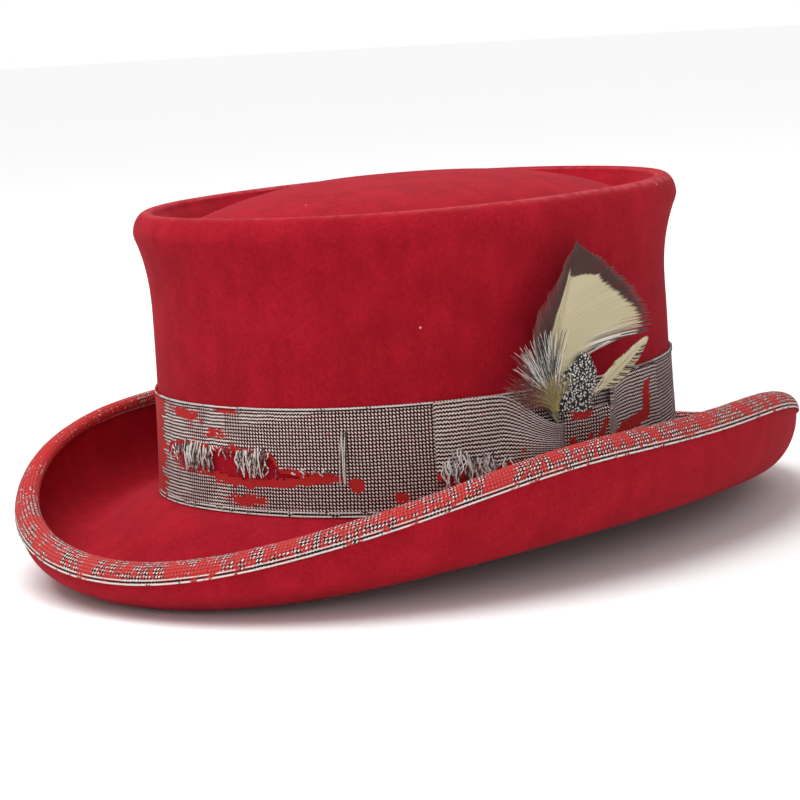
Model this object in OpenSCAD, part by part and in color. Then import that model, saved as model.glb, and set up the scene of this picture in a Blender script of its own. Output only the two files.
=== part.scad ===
// Low-crowned felt top hat with a curled, bound brim, a ribbon hatband with a
// flat side bow, and a lift-out feather mount tucked behind the bow's knot.
// The front is -Y, the wearer's left is +X, and the brim's lowest points rest on z = 0.

/* [Head] */
// Inside length of the sweatband, front to back
head_len = 200; // [190:1:210]
// Inside width of the sweatband, side to side
head_wid = 165; // [156:1:174]
// Squareness of the head oval: 2 is an ellipse
oval_n = 2.15; // [2:0.05:2.4]

/* [Felt] */
// Thickness of the felt
felt_t = 2.2; // [1.8:0.1:2.6]

/* [Crown] */
// Height of the crown's rim above the brim break
crown_h = 103.8; // [90:0.2:120]
// How far the crown's middle draws in
crown_waist = 1.3; // [0:0.1:3]
// How far the crown flares out just under its rim
crown_flare = 3.7; // [0:0.1:6]
// How much lower the rim is at the front than at the middle
front_drop = 1; // [0:0.1:3]
// Width of the round shoulder outside the rim's ridge
rim_w = 5; // [4:0.5:7]
// Height of the round shoulder outside the rim's ridge
rim_h = 8; // [6:0.5:10]
// Depth of the telescoped groove inside the rim
groove_deep = 8.2; // [6:0.2:10]
// Height of the tip's dome above the rim
dome_rise = 5.5; // [2:0.5:8]

/* [Brim] */
// Overall length of the brim over its binding
brim_len = 328; // [310:1:345]
// Overall width of the brim over its binding
brim_wid = 248.6; // [235:0.2:262]
// Drop of the brim's belly below the break, at the front and back
belly_front = 22; // [18:0.5:26]
// Drop of the brim's belly at the quarters
belly_quarter = 11.7; // [8:0.1:15]
// Drop of the brim's belly at the sides
belly_side = 7.2; // [4:0.1:10]
// Height of the brim's edge above the break, at the front and back
edge_front = -5; // [-10:0.5:2]
// Height of the brim's edge above the break, at the quarters
edge_quarter = 17.3; // [10:0.1:22]
// Height of the brim's edge above the break, at the sides
edge_side = 25; // [15:0.5:32]
// Where the belly lies between the crown and the edge
belly_at = 0.625; // [0.5:0.025:0.75]
// Width and height of the curl at the brim's edge
curl = 5.4; // [4.6:0.2:7]
// Rise of the break at front and back, and its dip at the sides
break_wave = 1.2; // [0:0.1:2]

/* [Trim] */
// Width of the hatband ribbon
band_w = 39.2; // [34:0.2:44]
// Thickness of the ribbon
ribbon_t = 0.7; // [0.5:0.1:1]
// Width of the leather sweatband above the break
sweat_w = 44; // [38:1:50]
// Thickness of the sweatband leather
leather_t = 1; // [0.8:0.1:1.4]
// Thickness of the lining satin
lining_t = 0.4; // [0.3:0.1:0.6]

/* [Bow and feathers] */
// Angle of the bow's knot round the crown from the front, towards the wearer's left
knot_at = 77; // [70:1:95]
// Width of the knot along the band
knot_w = 22; // [16:1:28]
// Height of the knot
knot_h = 25; // [20:1:28]
// Outward lean of the knot and the feather stems
lean = 5; // [4:0.5:6]
// Height of the main feather's tip above the knot's middle
plume_h = 69; // [55:1:75]
// Turn of the feathers' back edge away from the crown
plume_turn = 6; // [4:1:12]
// Slant of the bound stems behind the knot, towards the front
stem_slant = 42; // [30:1:45]

/* [Hidden] */

facets = 48;                 // stations round every oval piece, so that the pieces nest
gap = 0.1;                   // air left between neighbouring layers
bind_t = 0.6;                // thickness of the brim binding
wire_r = 0.6;                // radius of the brim wire
wire_sides = 6;              // sides of the wire, the reed and the piping
reed_r = 1;                  // radius of the sweatband's reed
stitch_w = 0.5;              // thickness of a sewing thread
wall_stack = felt_t + lining_t + leather_t + 2 * gap;
crown_a = head_len / 2 + wall_stack;
crown_b = head_wid / 2 + wall_stack;
break_z = belly_front;       // the break's height over the table
lining_d = -felt_t - gap;    // outside face of the lining, from the crown's oval
leather_d = lining_d - lining_t - gap;
inner_d = leather_d - leather_t;
lining_top = crown_h - groove_deep - felt_t - front_drop - 3;
waist_at = 0.62;             // height of the waist, as a share of the crown
flare_z = crown_h - rim_h;   // where the flare ends and the shoulder begins
flare_late = 2.6;            // how late in its height the crown flares
ridge_r = 3.4;               // radius inside the rim's ridge
ridge_d = crown_flare - rim_w; // the ridge's distance from the break's oval
band_d = gap + ribbon_t;     // outside face of the hatband, from the crown

// ---- the oval and the frame round it ----

function oval_of(f, a, b) =
    1 / pow(pow(abs(cos(f)) / a, oval_n) + pow(abs(sin(f)) / b, oval_n), 1 / oval_n);
function crown_r(f, d) = oval_of(f, crown_a + d, crown_b + d);
function edge_r(f) = oval_of(f, brim_len / 2 - bind_t - gap / 2, brim_wid / 2 - bind_t - gap / 2);
function place(f, p) = [p[0] * sin(f), -p[0] * cos(f), p[1] + break_z];
function mix(a, b, k) = a + (b - a) * k;
function ease(k) = let (c = min(1, max(0, k))) c * c * (3 - 2 * c);

// Height round the brim from its values at the front, the quarters and the sides
function round_brim(f, front, quarter, side) =
    (front + side + 2 * quarter) / 4
    + cos(2 * f) * (front - side) / 2
    + cos(4 * f) * (front + side - 2 * quarter) / 4;
function break_h(f) = break_wave * cos(2 * f);

// ---- the felt's shape ----

// Distance of the crown's outside from the break's oval at height z
function crown_d(z) =
    let (zw = waist_at * crown_h)
    z < zw ? -crown_waist * sin(90 * max(0, z) / zw)
           : -crown_waist + (crown_waist + crown_flare) * pow((z - zw) / (flare_z - zw), flare_late);

// A point of the crown: its foot follows the break, and its top dips at the front
function crown_p(f, d, z) =
    let (r = crown_r(f, d), foot = break_h(f) * max(0, 1 - z / band_w))
    [r, z * (1 - front_drop / crown_h * r * cos(f) / crown_a) + foot];

// Under face of the brim: s runs 0 to 1 down to the belly, to 2 up to the edge, to 3 over the curl
function brim_p(f, s) =
    let (foot = break_h(f) - felt_t,
         low = -round_brim(f, belly_front, belly_quarter, belly_side),
         top = round_brim(f, edge_front, edge_quarter, edge_side) - curl,
         r0 = crown_r(f, 0),
         r1 = edge_r(f))
    s < 1 ? [mix(r0, r1, s * belly_at), mix(foot, low, (1 - cos(180 * s)) / 2)]
    : s < 2 ? let (t = 90 * (s - 1))
        [mix(r0, r1, mix(belly_at, 1, sin(t))), mix(low, top, 1 - cos(t))]
    : let (t = 90 * (s - 2)) [r1 - curl * (1 - cos(t)), top + curl * sin(t)];

// Unit vector across the brim, pointing up at the crown and inwards at the edge
function brim_n(f, s) =
    let (e = 0.02, a = brim_p(f, max(0, s - e)), b = brim_p(f, min(3, s + e)), v = (b - a) / norm(b - a))
    [-v[1], v[0]];
function brim_off(f, s, t) = brim_p(f, s) + t * brim_n(f, s);
function edge_out(f, along, t) =
    let (n = brim_n(f, 3)) brim_p(f, 3) + along * [n[1], -n[0]] + t * n;

brim_steps = [0.1, 0.3, 0.5, 0.7, 0.85, 1, 1.25, 1.5, 1.75, 2, 2.25, 2.5, 2.75, 3];
wall_steps = [4, 20, band_w, 52, 66, 78, 87];
function reversed(v) = [for (i = [len(v) - 1 : -1 : 0]) v[i]];

// Foot of the groove inside the rim, from the rim's ridge
groove_in = 8;
// Outside of the crown as [distance from the oval, height], from the groove to the break
crown_line = concat(
    [[ridge_d - groove_in, crown_h - groove_deep],
     [ridge_d - groove_in * 0.775, crown_h - groove_deep + 1.4],
     [ridge_d - groove_in * 0.575, crown_h - groove_deep + 4.2]],
    [for (a = [60, 30]) [ridge_d - ridge_r * sin(a), crown_h - ridge_r * (1 - cos(a))]],
    [for (a = [90, 60, 30, 0]) [ridge_d + rim_w * cos(a), flare_z + rim_h * sin(a)]],
    [for (z = reversed(wall_steps)) [crown_d(z), z]]);

// The same line moved inwards by the felt's thickness
function along(v, i) = v[min(len(v) - 1, i + 1)] - v[max(0, i - 1)];
crown_inside = [
    for (i = [0 : len(crown_line) - 1])
        let (v = along(crown_line, i)) crown_line[i] + felt_t * [v[1], -v[0]] / norm(v)];

// The tip's dome, from its middle out: radius as a share of the groove's, and height
dome_steps = [0.12, 0.35, 0.58, 0.78, 0.93];
groove_d = ridge_d - groove_in - 1.7;
function dome_z(u) = crown_h - groove_deep + (groove_deep + dome_rise) * (1 - pow(u, 3));
function dome_p(f, u, drop) =
    let (r = crown_r(f, groove_d) * u, z = dome_z(u) - drop)
    [r, z * (1 - front_drop / crown_h * r * cos(f) / crown_a)];

function felt_line(f) = concat(
    [for (u = dome_steps) dome_p(f, u, 0)],
    [for (q = crown_line) crown_p(f, q[0], q[1])],
    [crown_p(f, 0.05, 0.7)],
    [for (s = brim_steps) brim_off(f, s, felt_t)],
    [for (s = reversed(brim_steps)) brim_p(f, s)],
    [crown_p(f, 0.4 - felt_t / 2, 0.6 - felt_t), crown_p(f, 0.4 - felt_t, 0.4 - felt_t / 2)],
    [for (q = reversed(crown_inside)) crown_p(f, q[0], q[1])],
    [for (u = reversed(dome_steps)) dome_p(f, u, felt_t)]);

// ---- lofting ----

// Skins a list of closed loops; joined = true also skins the last loop to the first
module loft(loops, joined = false) {
    n = len(loops[0]);
    m = len(loops);
    last = joined ? m - 1 : m - 2;
    sides = [
        for (i = [0 : last], j = [0 : n - 1])
            let (a = i * n + j, b = i * n + (j + 1) % n, c = ((i + 1) % m) * n + j,
                 d = ((i + 1) % m) * n + (j + 1) % n)
                each [[a, b, d], [a, d, c]]];
    first = [for (j = [0 : n / 2 - 2]) each [[j + 1, j, n - 1 - j], [j + 1, n - 1 - j, n - 2 - j]]];
    end = [for (t = first) (m - 1) * n * [1, 1, 1] + reversed(t)];
    polyhedron(
        points = [for (v = loops) each v],
        faces = joined ? sides : concat(sides, first, end),
        convexity = 10);
}

// Sweeps a closed section, given as a function of the angle, all round the hat
module oval_loop(section) {
    loft([for (i = [0 : facets - 1]) let (f = i * 360 / facets)
        [for (p = section(f)) place(f, p)]], joined = true);
}

// A band that follows the crown's wall between two distances from it and two heights
function band_section(f, d_out, d_in, z0, z1) =
    let (levels = concat([z0], [for (z = wall_steps) if (z > z0 + 1 && z < z1 - 1) z], [z1]))
    concat(
        [for (z = levels) crown_p(f, d_out + crown_d(z), z)],
        [for (z = reversed(levels)) crown_p(f, d_in + crown_d(z), z)]);

function round_section(c, r, sides) =
    [for (i = [0 : sides - 1]) let (a = i * 360 / sides) c + r * [cos(a), sin(a)]];

// Turns and moves its children to angle f on the crown, x pointing out of the wall
module on_crown(f, d, z) {
    e = 0.5;
    a = place(f - e, crown_p(f - e, d, z));
    b = place(f + e, crown_p(f + e, d, z));
    translate((a + b) / 2)
        rotate([0, 0, atan2(b[1] - a[1], b[0] - a[0]) - 90])
            children();
}

// The same on the flat between two stations, k of the way along it
module on_facet(i, k, d, z) {
    turn = 360 / facets;
    a = place(i * turn, crown_p(i * turn, d, z));
    b = place((i + 1) * turn, crown_p((i + 1) * turn, d, z));
    translate(mix(a, b, k))
        rotate([0, 0, atan2(b[1] - a[1], b[0] - a[0]) - 90])
            children();
}

// ---- felt and brim edge ----

module felt_body() {
    lines = [for (i = [0 : facets - 1]) felt_line(i * 360 / facets)];
    color("firebrick")
        loft([for (j = [0 : len(lines[0]) - 1])
            [for (i = [0 : facets - 1]) place(i * 360 / facets, lines[i][j])]]);
}

module brim_wire() {
    mid = wire_r + gap;
    color("silver")
        oval_loop(function (f) round_section(edge_out(f, mid, felt_t / 2), wire_r, wire_sides));
}

module brim_binding() {
    outer = [2, 2.25, 2.5, 2.75, 3];
    inner = [2.25, 2.5, 2.75, 3];
    nose = 2 * (wire_r + gap);
    far = felt_t + gap / 2;
    color("indianred")
        oval_loop(function (f) concat(
            [for (s = outer) brim_off(f, s, -gap / 2 - bind_t)],
            [edge_out(f, nose, -gap / 2 - bind_t / 2), edge_out(f, nose + bind_t, felt_t / 2),
             edge_out(f, nose, far + bind_t / 2)],
            [for (s = reversed(inner)) brim_off(f, s, far + bind_t)],
            [for (s = inner) brim_off(f, s, far)],
            [edge_out(f, nose, far), edge_out(f, nose, -gap / 2)],
            [for (s = reversed(outer)) brim_off(f, s, -gap / 2)]));
}

module binding_stitches() {
    long = 5;
    sunk = 0.2;
    color("ghostwhite")
        for (i = [0 : facets - 1], k = [0.25, 0.75]) {
            turn = 360 / facets;
            lift = -gap / 2 - bind_t - stitch_w / 2 + sunk;
            p = place(i * turn, brim_off(i * turn, 2.1, lift));
            q = place((i + 1) * turn, brim_off((i + 1) * turn, 2.1, lift));
            v = q - p;
            translate(mix(p, q, k))
                rotate([0, -asin(v[2] / norm(v)), atan2(v[1], v[0])])
                    cube([long, stitch_w, stitch_w], center = true);
        }
}

// ---- sweatband ----

module sweatband() {
    color("saddlebrown")
        oval_loop(function (f) band_section(f, leather_d, inner_d, 1.2, sweat_w));
}

reed_z = 1.2 - reed_r - gap;
function reed_mid(f) = crown_p(f, leather_d - leather_t / 2 - 0.3, reed_z);

module sweatband_reed() {
    color("wheat")
        oval_loop(function (f) round_section(reed_mid(f), reed_r, wire_sides));
}

// Cloth tape that holds the reed: a cup under it and a leg up behind the leather
module sweatband_tape() {
    tape_t = 0.25;
    leg_foot = 2;
    leg_top = 7;
    leg_d = lining_d - gap;
    out_r = reed_r + gap + tape_t;
    color("linen")
        oval_loop(function (f) let (c = reed_mid(f)) concat(
            [for (a = [180 : 30 : 360]) c + out_r * [cos(a), sin(a)]],
            [for (z = [leg_foot, leg_top]) crown_p(f, leg_d + crown_d(z), z)],
            [for (z = [leg_top, leg_foot]) crown_p(f, leg_d - tape_t + crown_d(z), z)],
            [for (a = [360 : -30 : 180]) c + (reed_r + gap) * [cos(a), sin(a)]]));
}

module sweatband_stitches() {
    sunk = 0.2;
    seam_z = 4;
    color("cornsilk")
        for (i = [0 : facets - 1], k = [0.25, 0.75])
            on_facet(i, k, inner_d + crown_d(seam_z) - stitch_w / 2 + sunk, seam_z)
                cube([stitch_w, 4, stitch_w], center = true);
}

// Cover strip over the sweatband's back join
module sweatband_back_seam() {
    strip_w = 9;
    strip_t = 0.6;
    facet_sag = 0.5;
    color("peru")
        on_crown(180, inner_d + crown_d(sweat_w) - strip_t / 2 - facet_sag, sweat_w / 2)
            cube([strip_t, strip_w, sweat_w - 6], center = true);
}

// Small ribbon bow on the back join
module sweatband_bow() {
    loop_w = 9;
    loop_h = 6;
    bow_t = 0.8;
    color("dimgray")
        on_crown(180, inner_d + crown_d(sweat_w) - 2.4, 11) {
            for (side = [-1, 1])
                translate([-bow_t / 2, side * (loop_w / 2 + 1.2), 0])
                    rotate([90, 0, 90])
                        linear_extrude(bow_t)
                            polygon([[-side * loop_w / 2, -1.2], [side * loop_w / 2, -loop_h / 2],
                                     [side * loop_w / 2, loop_h / 2], [-side * loop_w / 2, 1.2]]);
            cube([2 * bow_t, 3, 4], center = true);
        }
}

// ---- lining ----

lining_foot = 8;
piping_r = 0.9;

module lining_sidewall() {
    color("black")
        oval_loop(function (f)
            band_section(f, lining_d, lining_d - lining_t, lining_foot, lining_top));
}

module lining_piping() {
    color("maroon")
        oval_loop(function (f) round_section(
            crown_p(f, lining_d - lining_t - piping_r - gap, lining_top - piping_r), piping_r, wire_sides));
}

// Oval tip of the lining, sewn inside the piping
module lining_tip() {
    edge_d = lining_d - lining_t - 2 * piping_r - 2 * gap;
    color("black")
        loft([for (z = [lining_t, 0]) [for (i = [0 : facets - 1]) let (f = i * 360 / facets)
            place(f, crown_p(f, edge_d, lining_top - piping_r + z))]]);
}

// ---- hatband and bow ----

band_z = 1;                  // the band's lower edge, just above the felt's fillet

module hatband_ribbon() {
    color("rosybrown")
        oval_loop(function (f) band_section(f, band_d, gap, band_z, band_w));
}

// Thread tacks that hold the band's top edge to the crown
module hatband_tacks() {
    count = 8;
    color("gray")
        for (i = [0 : count - 1])
            on_facet(round(i * facets / count), 0.5, band_d + crown_d(band_w), band_w - 1.5)
                cube([stitch_w, 0.6, 3], center = true);
}

// The knot's own frame: x out of the wall, y back along the band, z up the stems
knot_z = band_w / 2;
stem_x = 2.8;                // middle of the stems in the knot's frame
stem_t = 2;                  // thickness of the bound stems
back_x = stem_x + stem_t / 2 + 0.3;
wing_t = 1.6;                // two layers of ribbon, pressed flat
knot_t = 1;
wing_x = back_x + knot_t / 2 + gap + 0.1;

module in_knot_frame() {
    on_crown(knot_at, 0, knot_z)
        rotate([0, lean, 0])
            children();
}

// The knot: one closed wrap of ribbon round the pinched wings
module bow_knot() {
    hole_x = wing_t + 2 * gap + 0.2;
    fold_r = hole_x / 2 + knot_t * 0.75;
    fold_z = knot_h / 2 - 2.6;
    color("rosybrown")
        in_knot_frame()
            translate([back_x, knot_w / 2, 0])
                rotate([90, 0, 0])
                    linear_extrude(knot_w)
                        difference() {
                            union() {
                                translate([0, -knot_h / 2 + 2])
                                    square([hole_x + knot_t * 1.5, knot_h - 4]);
                                for (end = [-1, 1])
                                    translate([fold_r, end * fold_z])
                                        circle(r = fold_r, $fn = 32);
                            }
                            translate([knot_t / 2, -fold_z])
                                square([hole_x, 2 * fold_z]);
                        }
}

// Point of a wing: g is the angle from the knot, v runs -1 to 1 up the wing, t is its thickness
// Height of a wing where the knot pinches it; the back wing (side 1) is pinched less and opens at once
function pinch_h(side) = side > 0 ? 19 : 17;
fan_out = 1.6;               // a wing is at its full height well before its free end
function wing_h(side, k) = mix(pinch_h(side), band_w - band_z, ease(k * fan_out));
function flat_point(f, v, h, t) =
    let (z = (band_w + band_z) / 2 + v * h / 2)
    place(f, crown_p(f, band_d + gap + 0.2 + t + crown_d(z), z));
function pinch_point(side, y, v, t) =
    let (f = knot_at, e = 0.5,
         a = place(f - e, crown_p(f - e, 0, knot_z)), b = place(f + e, crown_p(f + e, 0, knot_z)),
         back = (b - a) / norm(b - a), out = [back[1], -back[0], 0],
         x = wing_x + t, z = v * pinch_h(side) / 2)
    (a + b) / 2 + back * side * y
        + out * (x * cos(lean) + z * sin(lean)) + [0, 0, z * cos(lean) - x * sin(lean)];
wing_end = 34;               // angle from the knot to a wing's free end
mm_per_deg = 1.52;           // length of the wall's side per degree round the crown
lay_from = 8;                // angle from the knot where a wing begins to lie down on the band
// Angle over which it lies down
function lay_over(side) = side > 0 ? 7 : 12;
function wing_point(side, g, v, t) =
    let (y = g * mm_per_deg, blend = ease((g - lay_from) / lay_over(side)),
         flat = flat_point(knot_at + side * g, v, wing_h(side, g / wing_end), t))
    blend <= 0 ? pinch_point(side, y, v, t)
               : pinch_point(side, y, v, t) * (1 - blend) + flat * blend;

module wing(side) {
    steps = [0, 7.2, 10, 12, 14, 16, 18, 20, 24, 29, wing_end];
    rows = [-1, -0.5, 0, 0.5, 1];
    loops = [for (g = steps) concat(
        [for (v = rows) wing_point(side, g, v, 0)],
        [for (v = reversed(rows)) wing_point(side, g, v, wing_t)])];
    start_clear = 0.1 / mm_per_deg;
    moved = concat([concat(
        [for (v = rows) wing_point(side, start_clear, v, 0)],
        [for (v = reversed(rows)) wing_point(side, start_clear, v, wing_t)])],
        [for (i = [1 : len(loops) - 1]) loops[i]]);
    loft(side > 0 ? reversed(moved) : moved);
}

module bow_front_wing() {
    color("rosybrown") wing(-1);
}

module bow_back_wing() {
    color("rosybrown") wing(1);
}

// ---- feather mount ----

stem_foot = -10;             // lower end of the stems, along their own slant from the knot's middle
stem_top = 24;               // their upper end
stem_r = 0.7;
stem_rows = [-2.4, -0.8, 0.8, 2.4];

module in_stem_frame() {
    in_knot_frame()
        translate([stem_x, 0, 0])
            rotate([stem_slant, 0, 0])
                children();
}

module feather_stems() {
    color("beige")
        in_stem_frame()
            for (y = stem_rows)
                translate([0, y, stem_foot + abs(y)])
                    cylinder(h = stem_top - stem_foot - abs(y), r = stem_r, $fn = 24);
}

// Thread wrapped round the stems' upper end
module stem_wrap() {
    wrap_w = 7;
    wrap_h = 5;
    color("black")
        in_stem_frame()
            translate([0, 0, stem_top - wrap_h - 1])
                linear_extrude(wrap_h)
                    difference() {
                        square([stem_t, wrap_w], center = true);
                        for (y = stem_rows)
                            translate([0, y])
                                circle(r = stem_r, $fn = 24);
                    }
}

// A flat feather blade that starts at foot = [y, z] in its layer over the stems;
// side_l and side_r are its half widths, and turn leans it towards the front
module blade(layer, foot, turn, length, side_l, side_r, widest) {
    blade_t = 0.6;
    foot_w = 1.2;
    in_knot_frame()
        translate([stem_x + stem_t / 2 + layer, foot[0], foot[1]])
            rotate([0, 0, -plume_turn])
                rotate([turn, 0, 0])
                    rotate([90, 0, 90])
                        linear_extrude(blade_t)
                            polygon([
                                [-foot_w, 0], [-side_l * 0.7, length * widest * 0.5],
                                [-side_l, length * widest], [-side_l * 0.75, length * (widest + 1) / 2],
                                [0, length], [side_r * 0.55, length * (widest + 2) / 3],
                                [side_r, length * widest], [side_r * 0.6, length * widest * 0.6],
                                [foot_w, 0]]);
}

plume_foot = [-18, 18];      // where the main feather leaves the bound stems
plume_lean = -12;

module main_feather() {
    color("tan")
        blade(1, plume_foot, plume_lean, (plume_h - plume_foot[1]) / cos(plume_lean), 12, 42, 0.55);
}

module small_feather() {
    color("beige") blade(2, [0, 14.5], -55, 33, 4.5, 4.5, 0.55);
}

module speckled_feather() {
    color("slategray") blade(3, [-9, 15], -10, 19, 9, 9, 0.5);
}

module striped_feather() {
    color("dimgray") blade(4, plume_foot, 25, 31, 9, 9, 0.75);
}

module hackle_tuft() {
    color("sienna") blade(5, plume_foot + [-1, -1], 52, 36, 8, 8, 0.75);
}

module olive_tuft() {
    color("darkkhaki") blade(6, plume_foot + [-1, -1], 20, 17, 6, 6, 0.6);
}

felt_body();
brim_wire();
brim_binding();
binding_stitches();
sweatband();
sweatband_reed();
sweatband_tape();
sweatband_stitches();
sweatband_back_seam();
sweatband_bow();
lining_sidewall();
lining_tip();
lining_piping();
hatband_ribbon();
hatband_tacks();
bow_front_wing();
bow_back_wing();
bow_knot();
feather_stems();
stem_wrap();
main_feather();
small_feather();
speckled_feather();
striped_feather();
hackle_tuft();
olive_tuft();
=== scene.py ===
"""Looks for a worn crimson felt top hat: felt, ribbons, sewing, leather, lining and feathers."""

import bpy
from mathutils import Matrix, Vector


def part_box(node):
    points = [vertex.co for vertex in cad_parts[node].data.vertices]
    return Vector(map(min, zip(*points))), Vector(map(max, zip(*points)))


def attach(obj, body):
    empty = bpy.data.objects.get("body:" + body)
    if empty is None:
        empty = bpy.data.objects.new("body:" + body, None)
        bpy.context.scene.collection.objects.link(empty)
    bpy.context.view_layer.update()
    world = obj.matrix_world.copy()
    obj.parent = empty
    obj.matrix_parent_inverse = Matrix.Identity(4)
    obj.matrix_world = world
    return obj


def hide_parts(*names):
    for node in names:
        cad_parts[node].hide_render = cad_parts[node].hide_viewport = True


bl_info = {
    "name": "Worn Felt Top Hat",
    "version": (1, 0, 0),
    "blender": (4, 5, 0),
    "location": "View3D > Sidebar > Hat",
    "description": "Builds a felt top hat with a torn ribbon, a side bow and feathers",
    "category": "Object",
}

import math

import bpy
import numpy as np
from mathutils import Matrix, Vector

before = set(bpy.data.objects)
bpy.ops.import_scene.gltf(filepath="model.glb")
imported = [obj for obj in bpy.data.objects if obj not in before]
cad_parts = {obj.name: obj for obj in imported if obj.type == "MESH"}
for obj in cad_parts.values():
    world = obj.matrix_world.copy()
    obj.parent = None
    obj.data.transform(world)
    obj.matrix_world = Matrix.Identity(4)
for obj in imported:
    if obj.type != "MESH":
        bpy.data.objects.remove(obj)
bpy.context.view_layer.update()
MM = 0.001
HAT, MOUNT = "hat", "feather_mount"
TURN = 2 * math.pi
RIM_LOW, RIM_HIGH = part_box("brim_binding")

# Shape of the crown and brim; the triples are at the front, the quarters and the sides, in millimetres.
WAIST_AT = 0.62
FLARE_LATE = 2.6
BELLY_DROP = (22, 11.7, 7.2)
EDGE_RISE = (-5, 17.3, 25)
LINING_TOP = 89.4

# The camera: degrees, metres and millimetres of lens.
CAMERA_AZIMUTH, CAMERA_ELEVATION, CAMERA_ROLL = 40.386, 7.357, 3.311
CAMERA_AWAY, AIM_HEIGHT, AIM_LEFT, AIM_DOWN = 0.9003, 0.067, 0.0074, 0.019197
CAMERA_LENS, SENSOR_WIDTH = 108.6, 36.0


def length_property(name, default, description):
    """A size in millimetres."""
    return bpy.props.FloatProperty(name=name, default=default, description=description, min=0.0, precision=2)


def colour_property(name, default, description):
    """A linear colour."""
    return bpy.props.FloatVectorProperty(
        name=name, subtype="COLOR", size=3, min=0.0, max=1.0, default=default, description=description)


class HatSizes(bpy.types.PropertyGroup):
    """Driving sizes of the hat, in millimetres, as its pattern gives them."""

    crown_a: length_property("Half length", 103.8, "Half of the felt oval at the break, front to back")
    crown_b: length_property("Half width", 86.3, "Half of the felt oval at the break, side to side")
    oval_n: bpy.props.FloatProperty(name="Oval", default=2.15,
            description="Squareness of the head oval; 2 is an ellipse")
    felt_t: length_property("Felt", 2.2, "Thickness of the felt")
    break_z: length_property("Break", 22.0, "Height of the brim break over the table")
    crown_h: length_property("Crown", 103.8, "Height of the rim over the break")
    waist: length_property("Waist", 1.3, "How far the crown's middle draws in")
    flare: length_property("Flare", 3.7, "How far the crown flares out under its rim")
    front_drop: length_property("Front drop", 1.0, "How much lower the rim is at the front")
    rim_w: length_property("Rim width", 5.0, "Width of the rim's round shoulder")
    rim_h: length_property("Rim height", 8.0, "Height of the rim's round shoulder")
    ridge_r: length_property("Ridge", 3.4, "Roundness inside the rim's ridge")
    groove: length_property("Groove", 8.2, "Depth of the telescoped groove inside the rim")
    dome_rise: length_property("Dome", 5.5, "Height of the tip's dome over the rim")
    brim_len: length_property("Brim length", (RIM_HIGH.y - RIM_LOW.y) / MM,
            "Brim over its binding, front to back")
    brim_wid: length_property("Brim width", (RIM_HIGH.x - RIM_LOW.x) / MM,
            "Brim over its binding, side to side")
    belly_at: bpy.props.FloatProperty(name="Belly", default=0.625,
            description="Where the belly lies between crown and edge", subtype="FACTOR")
    curl: length_property("Curl", 5.4, "Width and height of the curl at the brim's edge")
    break_wave: length_property("Break wave", 1.2, "Rise of the break at front and back")
    band_w: length_property("Hatband", 39.2, "Width of the hatband ribbon")
    band_z: length_property("Band foot", 1.0, "Height of the hatband's lower edge")
    rib: length_property("Rib pitch", 1.2, "Distance between two ribs of the ribbon")
    knot_at: bpy.props.FloatProperty(name="Knot angle", default=math.radians(77), subtype="ANGLE",
            description="Angle of the knot from the front")
    lean: bpy.props.FloatProperty(name="Knot lean", default=math.radians(5), subtype="ANGLE",
            description="Outward lean of the knot and stems")
    plume_turn: bpy.props.FloatProperty(name="Plume turn", default=math.radians(6), subtype="ANGLE",
            description="Turn of the feathers' back edge away from the crown")


class HatColours(bpy.types.PropertyGroup):
    """Colours of the hat's finishes."""

    felt: colour_property("Felt", (0.41, 0.0095, 0.0225), "Crimson nap")
    felt_deep: colour_property("Felt shade", (0.28, 0.0050, 0.0130), "Crimson where the nap lies away")
    ribbon: colour_property("Ribbon ground", (0.50, 0.022, 0.022), "Red under the worn ribs")
    pale: colour_property("Pale thread", (0.70, 0.66, 0.62), "Bleached rib threads")
    # Painted shade: laid in the gaps between the ribs, and as shadow lines beside the ribbons' pale edges.
    dark: colour_property("Painted rib shade", (0.014, 0.008, 0.009), "Gaps between the ribs")
    leather: colour_property("Sweat leather", (0.19, 0.08, 0.035), "Brown sheepskin")
    satin: colour_property("Lining satin", (0.014, 0.012, 0.014), "Black satin")
    piping: colour_property("Piping", (0.24, 0.012, 0.02), "Dark red piping")
    cream: colour_property("Cream vane", (0.68, 0.60, 0.38), "Main feather's vane")
    umber: colour_property("Dark vane", (0.055, 0.017, 0.013), "Main feather's dark edge")
    quill: colour_property("Quill", (0.66, 0.58, 0.40), "Horn of the stems")
    olive: colour_property("Olive fluff", (0.40, 0.34, 0.12), "Yellow-olive down")
    hackle: colour_property("Hackle", (0.17, 0.055, 0.035), "Brown hackle")
    floor: colour_property("Floor", (0.95, 0.95, 0.95), "Studio floor")


def sizes():
    return bpy.context.scene.hat_sizes


def colours():
    return bpy.context.scene.hat_colours


# ---- the hat's pattern: angle f from the front towards the wearer's left, in radians ----


def oval(f, a, b):
    n = sizes().oval_n
    return (np.abs(np.cos(f) / a) ** n + np.abs(np.sin(f) / b) ** n) ** (-1 / n)


def crown_radius(f, d):
    s = sizes()
    return oval(f, s.crown_a + d, s.crown_b + d)


def place(f, r, z):
    """Points of the row frame, in metres, at angle f, radius r and height z over the break."""
    return np.stack(np.broadcast_arrays(r * np.sin(f), -r * np.cos(f), z + sizes().break_z), -1) * MM


def mix(a, b, k):
    return a + (b - a) * k


def ease(k):
    c = np.clip(k, 0, 1)
    return c * c * (3 - 2 * c)


def boxed(wave, power):
    """A sine or cosine pushed towards a rounded box by a power below 1."""
    return np.sign(wave) * np.abs(wave) ** power


def bump_at(x, middle, half):
    """1 at the middle, falling smoothly to 0 half away."""
    return ease(1 - np.abs(x - middle) / half)


def ripple(seed, *waves):
    """A smooth unevenness from -1 to 1 of the given coordinates, the same each time."""
    rng = np.random.default_rng(seed)
    total = 0
    for _ in range(5):
        turn = rng.uniform(-1, 1, len(waves))
        total = total + np.sin(sum(w * t for w, t in zip(waves, turn)) * TURN + rng.uniform(0, TURN))
    return total / 5


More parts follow.
